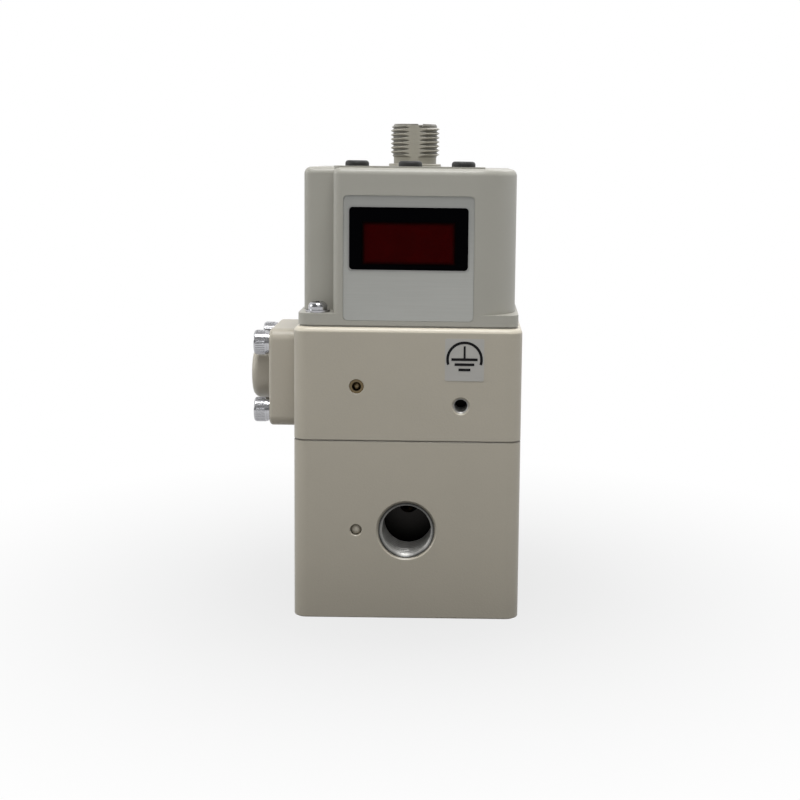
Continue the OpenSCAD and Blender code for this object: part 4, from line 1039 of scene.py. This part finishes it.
class REGULATOR_OT_earth_sticker(bpy.types.Operator):
    """Sticks the silver sticker with the round earth sign over the earth hole"""

    bl_idname = "regulator.earth_sticker"
    bl_label = "Add the earth sticker"

    def execute(self, context):
        size = context.scene.regulator_marks
        look = context.scene.regulator_finish
        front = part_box("pilot_body")[0][1]
        x, z = 12.4 * MM, 58.2 * MM
        plate, print_film, corner = 0.08 * MM, 0.03 * MM, 0.35 * MM
        paper = dressed_material(
            "Sticker foil", BRUSHED, look.sticker_colour,
            {"Contrast": 0.04, "Strokes per metre": 7000.0, "Roughness": 0.34}, 0.06)
        ink = dressed_material(
            "Sticker ink", GRAIN, (0.008, 0.008, 0.009),
            {"Drift": 0.2, "Grain per metre": 6000.0, "Roughness": 0.45}, 0.1,
            {"Specular IOR Level": 0.1})
        outline = rounded_outline(x, z, size.sticker_width, size.sticker_height, corner)
        place_piece("earth_sticker", extrude_outlines("earth_sticker", [outline], front, plate),
                    paper, "film", smooth=40)
        stroke = size.sign_stroke
        centre = z + 0.1 * MM
        open_half = math.radians(18)
        # Round line, post, and the three bars from the longest down
        signs = [arc_outline(x, centre, 3.7 * MM, stroke, -open_half, math.pi + open_half, 72),
                 bar_outline(x, centre + 1.6 * MM, stroke * 0.8, 2.7 * MM)]
        signs += [bar_outline(x, centre - drop * MM, width * MM, stroke)
                  for drop, width in ((0, 5.7), (1.1, 4.3), (2.25, 2.6))]
        mesh = extrude_outlines("earth_sign", signs, front - plate, print_film)
        place_piece("earth_sign", mesh, ink, "black_plastic")
        return {"FINISHED"}


class REGULATOR_OT_window(bpy.types.Operator):
    """Adds the window's light rim and the unlit digits behind the red filter"""

    bl_idname = "regulator.window"
    bl_label = "Dress the display window"

    def execute(self, context):
        size = context.scene.regulator_marks
        add_rim(size.rim_width)
        add_digits(size.digit_height)
        return {"FINISHED"}


class REGULATOR_OT_springs(bpy.types.Operator):
    """Winds the four springs in round wire"""

    bl_idname = "regulator.springs"
    bl_label = "Wind the springs"

    def execute(self, context):
        # Axis, wire radius, turns, joint, the joint's stroke, and whether the high end stays still
        springs = {
            "valve_spring": (2, 0.5 * MM, 4, "supply_valve_slide", 1.2 * MM, False),
            "pilot_spring": (0, 0.5 * MM, 7, "pilot_piston_slide", 0.8 * MM, False),
            "supply_plunger_spring": (2, 0.25 * MM, 3.5, "supply_plunger_lift", 0.4 * MM, True),
            "exhaust_plunger_spring": (2, 0.25 * MM, 3.5, "exhaust_plunger_lift", 0.4 * MM, True),
        }
        for node, (axis, wire, turns, joint, stroke, high_end) in springs.items():
            low, high = (Vector(corner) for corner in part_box(node))
            start = (low + high) / 2
            start[axis] = low[axis]
            length = high[axis] - low[axis]
            middle = (high[2 - axis] - low[2 - axis]) / 2 - wire
            place = Matrix.Translation(start)
            if axis == 0:
                place = place @ Matrix.Rotation(QUARTER, 4, "Y")
            name = node + "_wound"
            mesh = coil_mesh(name, middle, wire, length, turns, place)
            piece = place_piece(name, mesh, bpy.data.materials["Bright zinc"], "steel", smooth=50)
            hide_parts(node)
            still = start.copy()
            if high_end:
                still[axis] = high[axis]
            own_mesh(piece)
        return {"FINISHED"}


class REGULATOR_OT_diaphragm(bpy.types.Operator):
    """Makes the diaphragm's disc, which follows the stem, and its clamped rim with a fold"""

    bl_idname = "regulator.diaphragm"
    bl_label = "Fold the diaphragm"

    def execute(self, context):
        low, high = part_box("diaphragm")
        plate_low, plate_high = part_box("upper_diaphragm_plate")
        finish = bpy.data.materials["Rubber"]
        sides, steps = 96, 12
        rim = (high[0] - low[0]) / 2
        disc = (plate_high[0] - plate_low[0]) / 2 + 0.05 * MM
        hole, chamber, wall, clearance = 2.25 * MM, 16.9 * MM, 0.5 * MM, 0.03 * MM
        fold_level = low[2] - 1.0 * MM
        flat = [(low[2], hole), (low[2], disc), (high[2], disc), (high[2], hole)]
        place_piece("diaphragm_disc", turned_mesh("diaphragm_disc", flat, sides),
                    finish, "rubber", smooth=35, body="stem_body")

        lip = disc + clearance
        centre, half = (chamber + lip) / 2, (chamber - lip) / 2
        inner = half - wall
        arc = [math.pi * step / steps for step in range(steps + 1)]
        profile = [(high[2], rim), (low[2], rim), (low[2], chamber)]
        profile += [(fold_level - half * math.sin(a), centre + half * math.cos(a)) for a in arc]
        profile += [(high[2], lip), (high[2], lip + wall)]
        profile += [(fold_level - inner * math.sin(a), centre - inner * math.cos(a)) for a in arc]
        profile += [(high[2], chamber - wall)]
        mesh = turned_mesh("diaphragm_rim", profile, sides)
        piece = place_piece("diaphragm_rim", mesh, finish, "rubber", smooth=35)
        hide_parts("diaphragm")
        return {"FINISHED"}


class REGULATOR_OT_stage(bpy.types.Operator):
    """Sets the white floor, the soft light and the camera"""

    bl_idname = "regulator.stage"
    bl_label = "Set the stage"

    def execute(self, context):
        scene = context.scene
        stage = scene.regulator_stage
        scene.view_settings.view_transform = "Standard"
        lay_floor(scene)
        scene.world = room(stage.room_level)
        hang_lamps(scene, stage)

        lens = bpy.data.cameras.new("camera")
        lens.lens = stage.camera_lens
        lens.sensor_width = 36
        lens.shift_x, lens.shift_y = stage.camera_shift
        lens.clip_start = 0.01
        camera = bpy.data.objects.new("camera", lens)
        camera.matrix_world = (
            Matrix.Translation(stage.camera_place)
            @ Matrix.Rotation(stage.camera_yaw, 4, "Z")
            @ Matrix.Rotation(QUARTER + stage.camera_pitch, 4, "X")
            @ Matrix.Rotation(stage.camera_roll, 4, "Z"))
        scene.collection.objects.link(camera)
        scene.camera = camera
        return {"FINISHED"}


OPERATORS = (
    REGULATOR_OT_finish, REGULATOR_OT_inlet_thread, REGULATOR_OT_port_threads,
    REGULATOR_OT_tapped_holes, REGULATOR_OT_knurls, REGULATOR_OT_earth_sticker,
    REGULATOR_OT_window, REGULATOR_OT_springs, REGULATOR_OT_diaphragm, REGULATOR_OT_stage,
)
SETTINGS = {
    "regulator_finish": RegulatorFinish, "regulator_threads": RegulatorThreads,
    "regulator_knurl": RegulatorKnurl, "regulator_marks": RegulatorMarks,
    "regulator_stage": RegulatorStage,
}


class REGULATOR_PT_sidebar(bpy.types.Panel):
    """Settings and steps of the regulator's finish"""

    bl_idname = "REGULATOR_PT_sidebar"
    bl_label = "Regulator"
    bl_space_type = "VIEW_3D"
    bl_region_type = "UI"
    bl_category = "Regulator"

    def draw(self, context):
        for setting, group in SETTINGS.items():
            box = self.layout.box()
            for name in group.__annotations__:
                box.prop(getattr(context.scene, setting), name)
        for step in OPERATORS:
            self.layout.operator(step.bl_idname)


CLASSES = (*SETTINGS.values(), *OPERATORS, REGULATOR_PT_sidebar)


def register():
    for cls in CLASSES:
        bpy.utils.register_class(cls)
    for name, group in SETTINGS.items():
        setattr(bpy.types.Scene, name, bpy.props.PointerProperty(type=group))


def unregister():
    for name in SETTINGS:
        delattr(bpy.types.Scene, name)
    for cls in reversed(CLASSES):
        bpy.utils.unregister_class(cls)


def main():
    register()
    bpy.ops.regulator.finish()
    bpy.ops.regulator.inlet_thread()
    bpy.ops.regulator.port_threads()
    bpy.ops.regulator.tapped_holes()
    bpy.ops.regulator.knurls()
    bpy.ops.regulator.earth_sticker()
    bpy.ops.regulator.window()
    bpy.ops.regulator.springs()
    bpy.ops.regulator.diaphragm()
    bpy.ops.regulator.stage()


if __name__ == "__main__":
    main()
